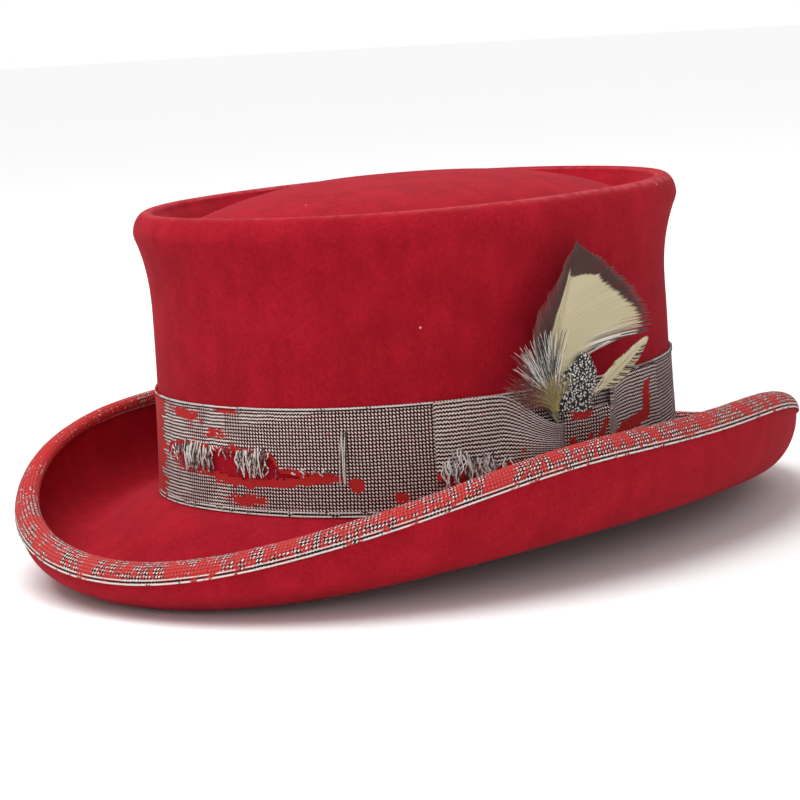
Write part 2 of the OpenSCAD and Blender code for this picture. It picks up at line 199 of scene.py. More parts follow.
def break_h(f):
    return sizes().break_wave * np.cos(2 * f)


def signed(f):
    """Angles in degrees, from -180 to 180."""
    return (np.degrees(f) + 180) % 360 - 180


def round_brim(f, front, quarter, side):
    return ((front + side + 2 * quarter) / 4 + np.cos(2 * f) * (front - side) / 2 + np.cos(4 * f)
            * (front + side - 2 * quarter) / 4)


def crown_d(z):
    """Distance of the crown's outside from the break's oval at height z."""
    s = sizes()
    waist_z, flare_z = WAIST_AT * s.crown_h, s.crown_h - s.rim_h
    low = -s.waist * np.sin(np.pi / 2 * np.maximum(0, z) / waist_z)
    high = -s.waist + (s.waist + s.flare) * np.maximum(0, (z - waist_z) / (flare_z - waist_z)) ** FLARE_LATE
    return np.where(z < waist_z, low, high)


def crown_rz(f, d, z, k=1.0):
    """Radius and height of a crown point: d out of the oval, at height z, k of the way out from the middle."""
    s = sizes()
    r = crown_radius(f, d) * k
    return (r, z * (1 - s.front_drop / s.crown_h * r * np.cos(f) / s.crown_a) + break_h(f)
            * np.maximum(0, 1 - z / s.band_w))


def hand(f, z):
    """Slight unevenness of a hand-blocked crown, none under the hatband."""
    return 0.9 * ripple(4, 1.1 * np.sin(f), 1.1 * np.cos(f), z / 70) * ease((z - 44) / 25)


def sway(f):
    """Slow waver of the brim's edge."""
    return 0.8 * ripple(9, 1.3 * np.sin(f), 1.3 * np.cos(f))


def brim_rz(f, s):
    """Under face of the brim: s runs to 1 down to the belly, to 2 up to the edge, to 3 over the curl."""
    p = sizes()
    trim = 0.65
    foot = break_h(f) - p.felt_t
    low = -round_brim(f, *BELLY_DROP)
    top = round_brim(f, *EDGE_RISE) - p.curl + sway(f)
    r0, r1 = crown_radius(f, 0), oval(f, p.brim_len / 2 - trim, p.brim_wid / 2 - trim)
    t = np.pi / 2 * (s - 1)
    c = np.pi / 2 * (s - 2)
    r = np.where(s < 1, mix(r0, r1, s * p.belly_at),
                 np.where(s < 2, mix(r0, r1, mix(p.belly_at, 1, np.sin(t))), r1 - p.curl * (1 - np.cos(c))))
    z = np.where(s < 1, mix(foot, low, (1 - np.cos(np.pi * s)) / 2),
                 np.where(s < 2, mix(low, top, 1 - np.cos(t)), top + p.curl * np.sin(c)))
    return r, z


def brim_off(f, s, t, along=0.0):
    """The brim's under face moved up by t and, past its end, along by that much."""
    e = 0.02
    r, z = brim_rz(f, s)
    ra, za = brim_rz(f, np.maximum(0, s - e))
    rb, zb = brim_rz(f, np.minimum(3, s + e))
    run = np.hypot(rb - ra, zb - za)
    vr, vz = (rb - ra) / run, (zb - za) / run
    return r - vz * t + vr * along, z + vr * t + vz * along


def softened(line, times=1):
    """Corner cutting along the second axis of an array of points, its ends kept."""
    for _ in range(times):
        near, far = 0.75 * line[:, :-1] + 0.25 * line[:, 1:], 0.25 * line[:, :-1] + 0.75 * line[:, 1:]
        inner = np.stack([near, far], 2).reshape(line.shape[0], -1, line.shape[2])
        line = np.concatenate([line[:, :1], inner, line[:, -1:]], 1)
    return line


def felt_outside(f):
    """Points of the felt's outside from the tip's middle to the brim's edge, at each angle."""
    s = sizes()
    flare_z, ridge_d = s.crown_h - s.rim_h, s.flare - s.rim_w
    floor_z = s.crown_h - s.groove
    rows = []
    for u in np.linspace(0, 0.95, 14):
        dome = floor_z + (s.groove + s.dome_rise) * (1 - u ** 3)
        dome = dome + 0.7 * ripple(21, u * np.sin(f), 1.3 * u * np.cos(f)) * ease(u * 2)
        rows.append(crown_rz(f, ridge_d - 9.7, dome, u))
    for d, z in ((-8, 0), (-6.6, 1.2), (-5.3, 3.4)):
        rows.append(crown_rz(f, ridge_d + d, floor_z + z))
    for a in np.radians([72, 54, 36, 18]):
        rows.append(crown_rz(f, ridge_d - s.ridge_r * np.sin(a), s.crown_h - s.ridge_r * (1 - np.cos(a))))
    for a in np.radians([90, 75, 60, 45, 30, 15, 0]):
        z = flare_z + s.rim_h * np.sin(a)
        rows.append(crown_rz(f, ridge_d + s.rim_w * np.cos(a) + hand(f, z), z))
    for z in (91, 85, 78, 71, 64, 57, 50, 44, 39, 33, 26, 20, 14, 8, 3):
        rows.append(crown_rz(f, crown_d(z) + hand(f, z), z))
    rows.append(crown_rz(f, 0.05, 0.7))
    for q in np.concatenate([np.linspace(0.07, 1.9, 22), np.linspace(2.0, 3.0, 10)]):
        rows.append(brim_off(f, q, s.felt_t))
    return np.stack([np.stack(np.broadcast_arrays(r, z, f)[:2], -1) for r, z in rows], 1)


# ---- making pieces ----


def pick(piece):
    bpy.ops.object.select_all(action="DESELECT")
    piece.select_set(True)
    bpy.context.view_layer.objects.active = piece


def in_edit(piece, *steps):
    """Runs edit-mode steps on the whole of a piece."""
    pick(piece)
    bpy.ops.object.mode_set(mode="EDIT")
    bpy.context.tool_settings.mesh_select_mode = (True, False, False)
    for step in steps:
        bpy.ops.mesh.select_all(action="SELECT")
        step()
    bpy.ops.object.mode_set(mode="OBJECT")


def face_out(piece):
    """Turns a closed piece's faces outwards."""
    in_edit(piece, lambda: bpy.ops.mesh.normals_make_consistent(inside=False))


def joined(name, *parts):
    """One piece made of several, under a new name."""
    bpy.ops.object.select_all(action="DESELECT")
    for o in parts:
        o.select_set(True)
    bpy.context.view_layer.objects.active = parts[0]
    bpy.ops.object.join()
    whole = bpy.context.object
    whole.name = whole.data.name = name
    return whole


def apply_modifier(piece, kind, **values):
    pick(piece)
    made = piece.modifiers.new(kind.title(), kind)
    for key, value in values.items():
        setattr(made, key, value)
    bpy.ops.object.modifier_apply(modifier=made.name)


def laid_grid(name, points, uv, cut=None, thick=0.0, marks=None, corner=50):
    """A grid laid on points[across, along], in metres, with faces cut away and seams closed, thick
    millimetres deep towards its inner side. uv holds each point's place on the flat cloth; marks are named values for its finish."""
    nu, nv = points.shape[0] - 1, points.shape[1] - 1
    bpy.ops.object.select_all(action="DESELECT")
    bpy.ops.mesh.primitive_grid_add(x_subdivisions=nu, y_subdivisions=nv, size=2, calc_uvs=True)
    piece = bpy.context.object
    piece.name = piece.data.name = name
    mesh = piece.data
    co = np.empty(len(mesh.vertices) * 3, np.float32)
    mesh.vertices.foreach_get("co", co)
    co = co.reshape(-1, 3)
    i = np.rint((co[:, 0] + 1) / 2 * nu).astype(int)
    j = np.rint((co[:, 1] + 1) / 2 * nv).astype(int)
    mesh.vertices.foreach_set("co", points[i, j].astype(np.float32).ravel())
    corner_of = np.empty(len(mesh.loops), np.int32)
    mesh.loops.foreach_get("vertex_index", corner_of)
    mesh.uv_layers.active.data.foreach_set("uv", uv[i, j][corner_of].astype(np.float32).ravel())
    mesh.uv_layers.active.name = "Flat"
    for key, value in (marks or {}).items():
        layer = mesh.attributes.new(key, "FLOAT", "POINT")
        layer.data.foreach_set("value", np.broadcast_to(value, points.shape[:2])[i, j].astype(np.float32))
    if cut is not None:
        quads = corner_of.reshape(-1, 4)
        gone = cut[i[quads].min(1), j[quads].min(1)]
        mesh.vertices.foreach_set("select", np.zeros(len(mesh.vertices), bool))
        mesh.edges.foreach_set("select", np.zeros(len(mesh.edges), bool))
        mesh.polygons.foreach_set("select", gone)
        pick(piece)
        bpy.context.tool_settings.mesh_select_mode = (False, False, True)
        bpy.ops.object.mode_set(mode="EDIT")
        bpy.ops.mesh.delete(type="FACE")
        bpy.ops.object.mode_set(mode="OBJECT")
    in_edit(piece, lambda: bpy.ops.mesh.remove_doubles(threshold=2e-6))
    if thick:
        apply_modifier(piece, "SOLIDIFY", thickness=thick * MM, offset=-1.0, use_even_offset=True)
    pick(piece)
    bpy.ops.object.shade_smooth_by_angle(angle=math.radians(corner))
    return piece


def rounded_lengths(points, axis):
    """Distance run along one axis of a grid of points, in millimetres, taken through its middle."""
    middle = points.take(points.shape[1 - axis] // 2, axis=1 - axis)
    step = np.linalg.norm(np.diff(middle, axis=0), axis=1) / MM
    return np.concatenate([[0], np.cumsum(step)])


def flat_uv(points, whole=0.0):
    """Place of each grid point on the flat ribbon, in millimetres.

    whole makes the first run a whole number of pitches."""
    u, v = rounded_lengths(points, 0), rounded_lengths(points, 1)
    if whole:
        u = u * (round(u[-1] / whole) * whole / u[-1])
    return np.stack(np.broadcast_arrays(u[:, None], v[None, :]), -1)


def turns(count):
    return np.linspace(0, TURN, count + 1)[:, None]


def strands(name, lines, radius, sides=5, corner=80, kinds=None):
    """Round threads along lines[thread, along], in metres, tapered shut at both ends. radius is in millimetres,
    for each point or for all. Each thread has its own value for its finish, and kinds may set it."""
    lines = np.asarray(lines, float)
    n, k = lines.shape[:2]
    radius = np.broadcast_to(radius, (n, k)).astype(float) * MM
    run = np.gradient(lines, axis=1)
    run = run / np.maximum(np.linalg.norm(run, axis=2, keepdims=True), 1e-12)
    lead = np.where(np.abs(run[..., 2:3]) > 0.9, np.array([1.0, 0, 0]), np.array([0, 0, 1.0]))
    side = np.cross(run, lead)
    side = side / np.linalg.norm(side, axis=2, keepdims=True)
    other = np.cross(run, side)
    a = np.linspace(0, TURN, sides + 1)
    wheel = ((np.cos(a)[None, :, None, None] * side[:, None] + np.sin(a)[None, :, None, None]
            * other[:, None]) * radius[:, None, :, None])
    points = lines[:, None] + wheel
    ends = np.repeat(lines[:, None], sides + 1, 1)
    points = np.concatenate([ends[:, :, :1], points, ends[:, :, -1:]], 2).reshape(n * (sides + 1), k + 2, 3)
    own = np.random.default_rng(len(name) + n).random(n) if kinds is None else np.asarray(kinds, float)
    uv = np.stack(np.broadcast_arrays(np.repeat(own, sides + 1)[:, None], np.linspace(0, 1, k + 2)[None, :]),
            -1)
    cut = np.zeros((n * (sides + 1) - 1, k + 1), bool)
    cut[sides::sides + 1] = True
    piece = laid_grid(name, points, uv, cut=cut, corner=corner)
    face_out(piece)
    return piece


def dress(piece, finish, body, nodes=()):
    """Gives a piece its finish and its body, and hides the CAD nodes that it stands for."""
    piece.data.materials.clear()
    piece.data.materials.append(finish)
    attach(piece, body)
    if nodes:
        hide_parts(*nodes)
    return piece


# ---- finishes ----


def new_node(tree, kind, inputs=None, **settings):
    """One shader node; an input's value is set, and a socket is linked to it."""
    node = tree.nodes.new("ShaderNode" + kind)
    for key, value in settings.items():
        setattr(node, key, value)
    for key, value in (inputs or {}).items():
        socket = node.inputs[key]
        if isinstance(value, bpy.types.NodeSocket):
            tree.links.new(value, socket)
        else:
            socket.default_value = value
    return node


def calc(tree, operation, *values, clamp=False):
    node = new_node(tree, "Math", dict(enumerate(values)), operation=operation, use_clamp=clamp)
    return node.outputs[0]


def spread(tree, value, low, high, to_low=0.0, to_high=1.0):
    """Maps low..high smoothly to another range, held at its ends."""
    node = new_node(tree, "MapRange", {"Value": value, "From Min": low, "From Max": high, "To Min": to_low,
            "To Max": to_high},
                    interpolation_type="SMOOTHSTEP")
    return node.outputs["Result"]


def blend_colour(tree, factor, a, b, way="MIX"):
    node = new_node(tree, "Mix", data_type="RGBA", blend_type=way)
    for key, value in ((0, factor), (6, a), (7, b)):
        if isinstance(value, bpy.types.NodeSocket):
            tree.links.new(value, node.inputs[key])
        else:
            node.inputs[key].default_value = (*value, 1) if key and len(value) == 3 else value
    return node.outputs[2]


def shade(colour, k):
    """A colour made k times as light, at most white."""
    return tuple(min(1.0, k * x) for x in colour)


def noise(tree, place_in, scale, detail=2.0, roughness=0.5):
    return new_node(tree, "TexNoise", {"Vector": place_in, "Scale": scale, "Detail": detail,
            "Roughness": roughness}).outputs["Fac"]


def new_group(name, inputs, outputs):
    """A node group with named sockets, each (name, kind, default)."""
    group = bpy.data.node_groups.new(name, "ShaderNodeTree")
    for label, kind, default in inputs:
        socket = group.interface.new_socket(label, in_out="INPUT", socket_type="NodeSocket" + kind)
        if default is not None:
            socket.default_value = default
    for label, kind in outputs:
        group.interface.new_socket(label, in_out="OUTPUT", socket_type="NodeSocket" + kind)
    return group, group.nodes.new("NodeGroupInput").outputs, group.nodes.new("NodeGroupOutput").inputs


def use_group(tree, name, inputs):
    node = tree.nodes.new("ShaderNodeGroup")
    node.node_tree = bpy.data.node_groups[name]
    for key, value in inputs.items():
        if isinstance(value, bpy.types.NodeSocket):
            tree.links.new(value, node.inputs[key])
        else:
            node.inputs[key].default_value = value
    return node.outputs


def make_groups():
    """The effects that several finishes share."""
    tree, take, give = new_group(
        "Ribbed weave",
        [("Flat", "Vector", None), ("Pitch", "Float", 1.2), ("Waver", "Float", 0.4), ("Dots", "Float", 0.6),
            ("Dotted", "Float", 0.0)],
        [("Pale", "Float"), ("Gap_shade", "Float"), ("Height", "Float")])
    swing = calc(tree, "SUBTRACT", noise(tree, take["Flat"], 0.16, 2), 0.5)
    fine = calc(tree, "SUBTRACT", noise(tree, take["Flat"], 0.8, 1), 0.5)
    push = calc(tree, "MULTIPLY", calc(tree, "ADD", calc(tree, "MULTIPLY", swing, 7.0),
            calc(tree, "MULTIPLY", fine, 3.2)), take["Waver"])
    split = new_node(tree, "SeparateXYZ", {0: take["Flat"]}).outputs
    lift = calc(tree, "MULTIPLY", calc(tree, "SINE",
            calc(tree, "DIVIDE", calc(tree, "MULTIPLY", split[0], TURN), take["Pitch"])), 0.16)

    def rows(value, extra):
        wave = calc(tree, "DIVIDE", calc(tree, "MULTIPLY", calc(tree, "ADD", value, extra), TURN),
                take["Pitch"])
        return calc(tree, "MULTIPLY_ADD", calc(tree, "COSINE", wave), 0.5, 0.5)

    across = rows(split[1], calc(tree, "ADD", push, lift))
    along = rows(split[0], calc(tree, "MULTIPLY", push, 0.6))
    patch = spread(tree, noise(tree, take["Flat"], 0.045, 2), 0.44, 0.56)
    dotted = calc(tree, "MAXIMUM", calc(tree, "MULTIPLY", patch, take["Dots"]), take["Dotted"], clamp=True)
    both = calc(tree, "POWER", calc(tree, "MULTIPLY", across, calc(tree, "MULTIPLY_ADD", along, 0.85, 0.15)),
            0.6)
    thread = new_node(tree, "Mix", {0: dotted, 2: across, 3: both}, data_type="FLOAT").outputs[0]
    tree.links.new(spread(tree, thread, 0.50, 0.66), give["Pale"])
    # Low places between the ribs, which the ribbon finish darkens as painted shade.
    tree.links.new(spread(tree, thread, 0.56, 0.42), give["Gap_shade"])
    tree.links.new(thread, give["Height"])

    tree, take, give = new_group(
        "Worn patches", [("Place", "Vector", None), ("Scale", "Float", 0.1), ("Amount", "Float", 0.3)],
            [("Mask", "Float")])
    broad = noise(tree, take["Place"], take["Scale"], 4, 0.62)
    edge = calc(tree, "SUBTRACT", 0.74, calc(tree, "MULTIPLY", take["Amount"], 0.48))
    tree.links.new(spread(tree, calc(tree, "SUBTRACT", broad, edge), -0.025, 0.03), give["Mask"])

    tree, take, give = new_group(
        "Nap", [("Place", "Vector", None), ("Scale", "Float", 900.0)],
            [("Mottle", "Float"), ("Height", "Float")])
    slow = noise(tree, take["Place"], calc(tree, "MULTIPLY", take["Scale"], 0.05), 3, 0.6)
    quick = noise(tree, take["Place"], calc(tree, "MULTIPLY", take["Scale"], 0.45), 3, 0.6)
    tree.links.new(calc(tree, "MULTIPLY_ADD", quick, 0.35, calc(tree, "MULTIPLY", slow, 0.65)),
            give["Mottle"])
    tree.links.new(noise(tree, take["Place"], take["Scale"], 4, 0.7), give["Height"])


def new_finish(name, **constants):
    """A material with one Principled shader; constants are set on its sockets. Returns it, its tree and the shader."""
    finish = bpy.data.materials.new(name)
    finish.use_nodes = True
    shader = finish.node_tree.nodes["Principled BSDF"]
    for key, value in constants.items():
        shader.inputs[key.replace("_", " ")].default_value = (*value, 1) if isinstance(value,
                tuple) else value
    return finish, finish.node_tree, shader


def object_place(tree):
    return new_node(tree, "TexCoord").outputs["Object"]


def flat_place(tree):
    return new_node(tree, "UVMap", uv_map="Flat").outputs["UV"]


def mark(tree, name):
    return new_node(tree, "Attribute", attribute_name=name, attribute_type="GEOMETRY").outputs["Fac"]


def raise_surface(tree, shader, height, distance, strength=1.0):
    bump = new_node(tree, "Bump", {"Height": height, "Distance": distance * MM, "Strength": strength})
    tree.links.new(bump.outputs["Normal"], shader.inputs["Normal"])


def crimson_felt():
    c = colours()
    finish, tree, shader = new_finish("crimson_felt", Roughness=0.95, Sheen_Weight=0.05, Sheen_Roughness=0.45,
                                      Sheen_Tint=(0.95, 0.28, 0.33), Specular_IOR_Level=0.10)
    where = object_place(tree)
    nap = use_group(tree, "Nap", {"Place": where, "Scale": 1500.0})
    brushed = new_node(tree, "Mapping", {"Vector": where, "Scale": (1, 1, 0.18)}).outputs[0]
    streak = noise(tree, brushed, 150, 3, 0.6)
    grain = noise(tree, where, 1100, 2)
    tone = calc(tree, "MULTIPLY_ADD", streak, 0.22,
            calc(tree, "MULTIPLY_ADD", grain, 0.30, calc(tree, "MULTIPLY", nap["Mottle"], 0.5)))
    colour = blend_colour(tree, spread(tree, tone, 0.38, 0.68), tuple(c.felt_deep), tuple(c.felt))
    # Lighter pink band along the rim's ridge: partly worn felt, partly a painted highlight.
    rubbed_and_highlight = calc(tree, "MULTIPLY", mark(tree, "rub_and_highlight"),
            spread(tree, noise(tree, where, 260, 3), 0.38, 0.6, 0.35, 1.0))
    colour = blend_colour(tree, rubbed_and_highlight, colour, (0.62, 0.12, 0.13))
    cells = new_node(tree, "TexVoronoi", {"Vector": where, "Scale": 95.0})
    near = spread(tree, cells.outputs["Distance"], 0.045, 0.025)
    rare = calc(tree, "GREATER_THAN", new_node(tree, "SeparateColor", {0: cells.outputs["Color"]}).outputs[0],
            0.6)
    lint = calc(tree, "MULTIPLY", calc(tree, "MULTIPLY", near, rare), mark(tree, "lint"))
    colour = blend_colour(tree, lint, colour, (0.85, 0.38, 0.40))
    tree.links.new(colour, shader.inputs["Base Color"])
    raise_surface(tree, shader, calc(tree, "MULTIPLY_ADD", nap["Height"], 0.7, nap["Mottle"]), 0.35, 0.55)
    return finish


def ribbed_ribbon(name, across=False, wear=0.2, waver=0.1, dots=0.8, edges=None):
    """Abraded grosgrain: pale ribs and painted shade in the gaps between them, over a red ground that shows where it
    is worn through, with pale edge lines and painted shadow lines beside them.
    """
    c = colours()
    finish, tree, shader = new_finish(name, Roughness=0.88, Sheen_Weight=0.03, Specular_IOR_Level=0.15)
    flat = flat_place(tree)
    if across:
        part = new_node(tree, "SeparateXYZ", {0: flat}).outputs
        flat = new_node(tree, "CombineXYZ", {0: part[1], 1: part[0]}).outputs[0]
    weave = use_group(tree, "Ribbed weave",
            {"Flat": flat, "Pitch": sizes().rib, "Waver": waver, "Dots": dots,
            "Dotted": mark(tree, "dotted")})
    worn = use_group(tree, "Worn patches", {"Place": flat, "Scale": 0.085, "Amount": wear})["Mask"]
    small = use_group(tree, "Worn patches", {"Place": flat, "Scale": 0.5, "Amount": wear})["Mask"]
    marked = mark(tree, "worn")
    frayed = calc(tree, "MULTIPLY_ADD", noise(tree, flat, 1.1, 1), 0.9,
            calc(tree, "MULTIPLY", noise(tree, flat, 0.35, 3), 0.9))
    torn = spread(tree, calc(tree, "MULTIPLY_ADD", marked, 1.15, frayed), 1.34, 1.52)
    bare = calc(tree, "MAXIMUM", torn, calc(tree, "MULTIPLY", calc(tree, "MAXIMUM", worn, small), 0.9),
            clamp=True)
    left = calc(tree, "SUBTRACT", 1.0, bare, clamp=True)
    fade = noise(tree, flat, 0.05, 3)
    ground = blend_colour(tree, fade, shade(c.ribbon, 0.75), tuple(c.ribbon))
    # Painted shade in the gaps between the ribs, fading where the ribs are worn away.
    colour = blend_colour(tree, calc(tree, "MULTIPLY", weave["Gap_shade"], calc(tree, "MULTIPLY", left, 0.97)),
            ground, tuple(c.dark))
    colour = blend_colour(tree, calc(tree, "MULTIPLY", weave["Pale"], left), colour, tuple(c.pale))
    # Pale edge threads, and dark lines beside them that are painted shadow.
    if edges:
        v = new_node(tree, "SeparateXYZ", {0: flat_place(tree)}).outputs[1]
        for at, half, is_pale in edges:
            away = calc(tree, "ABSOLUTE", calc(tree, "SUBTRACT", v, at))
            keep = spread(tree, noise(tree, flat_place(tree), 0.25, 2), 0.36, 0.46)
            line = calc(tree, "MULTIPLY", spread(tree, away, half + 0.12, half - 0.12), keep)
            colour = blend_colour(tree, line, colour, tuple(c.pale) if is_pale else tuple(c.dark))
    tree.links.new(colour, shader.inputs["Base Color"])
    raise_surface(tree, shader, calc(tree, "MULTIPLY", weave["Height"],
            calc(tree, "MULTIPLY_ADD", left, 0.75, 0.25)), 0.3, 0.6)
    return finish


def thread_finish(name, colour, other):
    """Cotton or silk thread whose strands differ a little."""
    finish, tree, shader = new_finish(name, Roughness=0.8, Sheen_Weight=0.1, Specular_IOR_Level=0.25)
    part = new_node(tree, "SeparateXYZ", {0: flat_place(tree)}).outputs
    ply = noise(tree, object_place(tree), 1400, 2)
    tone = calc(tree, "MULTIPLY_ADD", ply, 0.5, calc(tree, "MULTIPLY", part[0], 0.6))
    tree.links.new(blend_colour(tree, spread(tree, tone, 0.3, 0.75), colour, other),
            shader.inputs["Base Color"])
    raise_surface(tree, shader, ply, 0.15, 0.4)
    return finish


def cloth_finish(name, colour, rough=0.5, sheen=0.2, scale=2200.0, depth=0.1, coat=0.0, metal=0.0):
    """Plain cloth, tape, satin, leather or metal with a fine grain and a slow change of tone."""
    finish, tree, shader = new_finish(name, Roughness=rough, Sheen_Weight=sheen, Specular_IOR_Level=0.4,
            Metallic=metal, Coat_Weight=coat)
    nap = use_group(tree, "Nap", {"Place": object_place(tree), "Scale": scale})
    tone = spread(tree, nap["Mottle"], 0.38, 0.64)
    tree.links.new(blend_colour(tree, tone, shade(colour, 0.62), shade(colour, 1.15)),
            shader.inputs["Base Color"])
    tree.links.new(spread(tree, nap["Height"], 0.3, 0.7, rough - 0.08, rough + 0.1),
            shader.inputs["Roughness"])
    raise_surface(tree, shader, nap["Height"], depth, 0.6)
    return finish


def vane_finish(name, paint):
    """A feather's vane; paint(tree, side, along, own) gives its colour, side runs from -1 to 1 over the barbs."""
    finish, tree, shader = new_finish(name, Roughness=0.6, Sheen_Weight=0.15, Specular_IOR_Level=0.3)
    part = new_node(tree, "SeparateXYZ", {0: flat_place(tree)}).outputs
    own = noise(tree, new_node(tree, "CombineXYZ", {0: part[1]}).outputs[0], 90, 0)
    tree.links.new(paint(tree, part[0], part[1], own), shader.inputs["Base Color"])
    return finish


def stripes(tree, value, count):
    """Alternate barbs: 0 or 1 by a noise of how far along the rachis each one stands."""
    return spread(tree, noise(tree, new_node(tree, "CombineXYZ", {0: value}).outputs[0], count, 1), 0.47,
            0.53)


def plume_paint(tree, side, along, own):
    """Cream vane edged with umber, barred black and white at its foot, its front vane dark."""
    c = colours()
    cream = blend_colour(tree, own, shade(c.cream, 0.84), tuple(c.cream))
    inner = spread(tree, calc(tree, "ABSOLUTE", side), 0.0, 0.12)
    cream = blend_colour(tree, calc(tree, "MULTIPLY", calc(tree, "SUBTRACT", 1.0, inner), 0.3), cream,
            (0.24, 0.16, 0.07))
    start = calc(tree, "MULTIPLY", spread(tree, along, 0.50, 0.80, 0.87, 0.68),
            spread(tree, along, 0.79, 0.90, 1.0, 0.0))
    uneven = calc(tree, "MULTIPLY_ADD", own, 0.05, start)
    edge = calc(tree, "SUBTRACT", side, uneven)
    rim = spread(tree, edge, -0.035, 0.035)
    foot = calc(tree, "MULTIPLY", spread(tree, along, 0.54, 0.46), spread(tree, side, 0.30, 0.50))
    barred = stripes(tree, along, 75)
    bars = calc(tree, "MULTIPLY", barred, foot)
    white = calc(tree, "MULTIPLY", calc(tree, "SUBTRACT", 1.0, barred, clamp=True), foot)
    cream = blend_colour(tree, calc(tree, "MULTIPLY", white, 0.8), cream, (0.86, 0.85, 0.82))
    front = calc(tree, "MAXIMUM", spread(tree, side, -0.12, -0.2), spread(tree, along, 0.86, 0.90))
    front_bars = calc(tree, "MAXIMUM", spread(tree, along, 0.30, 0.40), stripes(tree, along, 120))
    soft = blend_colour(tree, spread(tree, side, -0.35, -1.0), tuple(c.umber), (0.17, 0.035, 0.035))
    dark = calc(tree, "MAXIMUM", bars, calc(tree, "MULTIPLY", front, front_bars), clamp=True)
    colour = blend_colour(tree, dark, cream, soft)
    return blend_colour(tree, rim, colour, tuple(c.umber))


def small_paint(tree, side, along, own):
    c = colours()
    cream = blend_colour(tree, own, shade(c.cream, 0.9), shade(c.cream, 1.12))
    low = calc(tree, "MULTIPLY", spread(tree, side, 0.22, 0.40), stripes(tree, along, 110))
    high = calc(tree, "MULTIPLY", spread(tree, side, -0.78, -0.9), spread(tree, own, 0.35, 0.5))
    return blend_colour(tree, calc(tree, "MAXIMUM", low, high), cream, shade(c.umber, 0.5))


def speckled_paint(tree, side, along, own):
    cells = new_node(tree, "TexVoronoi", {"Vector": object_place(tree), "Scale": 1150.0})
    spots = spread(tree, cells.outputs["Distance"], 0.46, 0.37)
    return blend_colour(tree, spots, (0.012, 0.011, 0.012), (0.80, 0.78, 0.74))


def strand_finish(name, low, high, tip, tip_from=0.6):
    """Loose barbs: each strand has its own tone, and turns to the tip's colour."""
    finish, tree, shader = new_finish(name, Roughness=0.65, Sheen_Weight=0.25, Specular_IOR_Level=0.3)
    part = new_node(tree, "SeparateXYZ", {0: flat_place(tree)}).outputs
    colour = blend_colour(tree, part[0], low, high)
    tree.links.new(blend_colour(tree, spread(tree, part[1], tip_from, 1.0), colour, tip),
            shader.inputs["Base Color"])
    return finish


# ---- felt and brim edge ----


def build_felt():
    f = turns(240)
    line = softened(felt_outside(f[:, 0]))
    points = place(f, line[..., 0], line[..., 1])[:, ::-1]
    r, z = line[:, ::-1, 0], line[:, ::-1, 1]
    # Band along the rim's ridge that the felt finish paints lighter pink: partly wear, partly a painted highlight.
    rub_and_highlight = np.exp(-(((z - sizes().crown_h + 0.4) / 0.9) ** 2)) * (r > crown_radius(f, -3.5))
    piece = laid_grid("felt_hat_body", points, flat_uv(points), thick=sizes().felt_t,
                      marks={"rub_and_highlight": rub_and_highlight * 0.4, "lint": ease((z - 38) / 4)})
    return dress(piece, crimson_felt(), HAT, ["felt_body"])


def binding_section(f):
    """The binding's outside, from its lower edge over the brim's nose to its edge on the upper face."""
    pucker = 0.10 * ripple(31, 9 * np.sin(f), 9 * np.cos(f))
    rows = [brim_off(f, s, -0.62 + pucker) for s in np.linspace(2, 3, 9)[:-1]]
    for a in np.radians(np.linspace(-90, 90, 11)):
        rows.append(brim_off(f, 3.0, 1.1 + (1.72 - pucker) * np.sin(a), 2.0 * np.cos(a)))
    rows += [brim_off(f, s, 2.82 - pucker) for s in np.linspace(3, 2.2, 8)[1:]]
    return np.stack([r for r, z in rows], 1)[..., 0], np.stack([z for r, z in rows], 1)[..., 0]


def build_binding():
    s = sizes()
    f = turns(540)
    r, z = binding_section(f)
    points = place(f, r, z)[:, ::-1]
    uv = flat_uv(points, s.rib)
    across = uv[0, :, 1]
    degrees = signed(f)
    worn = (0.62 * bump_at(degrees, -50, 62) + 0.2 * bump_at(degrees, 100, 40) + 0.16
            * ripple(12, 5 * np.sin(f), 5 * np.cos(f)))
    piece = laid_grid("brim_ribbon_binding", points, uv, thick=0.55, marks={"worn": worn, "dotted": 1.0})
    outer = across[-1]
    # The pale lines are edge threads; the dark ones beside them are painted shadow.
    edges = [(outer - 0.45, 0.26, 1), (outer - 1.1, 0.26, 0), (outer - 1.7, 0.16, 1), (0.5, 0.2, 1),
            (1.1, 0.2, 0)]
    dress(piece, ribbed_ribbon("worn_binding", across=True, wear=0.47, waver=0.22, dots=1.0, edges=edges),
            HAT, ["brim_binding"])
    return piece


def build_binding_stitches():
    count, span = 190, 0.72
    f = (np.arange(count)[:, None] + np.linspace(0, span, 5)[None, :]) * TURN / count
    bow = 0.12 * np.sin(np.linspace(0, np.pi, 5))[None, :]
    r, z = brim_off(f, 2.1, -0.62 - 0.12 - bow)
    piece = strands("binding_running_stitches", place(f, r, z), 0.27, sides=5)
    return dress(piece, thread_finish("pale_thread", (0.62, 0.56, 0.50), (0.80, 0.75, 0.68)), HAT,
            ["binding_stitches"])


def build_wire_finish():
    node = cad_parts["brim_wire"]
    node.data.materials.clear()
    node.data.materials.append(cloth_finish("wire_steel", (0.45, 0.45, 0.46), rough=0.32, sheen=0.0,
            scale=3000, depth=0.02, metal=1.0))


# ---- sweatband and lining ----


LEATHER_D, LINING_D = -2.8, -2.3


def round_ring(name, centre, radius, count=240, sides=10):
    """A round cord, reed or piping sewn all round the hat, along centre(f) = radius and height."""
    f = turns(count)
    a = np.linspace(0, TURN, sides + 1)[None, :]
    r, z = centre(f)
    points = place(f, r + radius * np.cos(a), z + radius * np.sin(a))
    piece = laid_grid(name, points, flat_uv(points), corner=80)
    face_out(piece)
    return piece


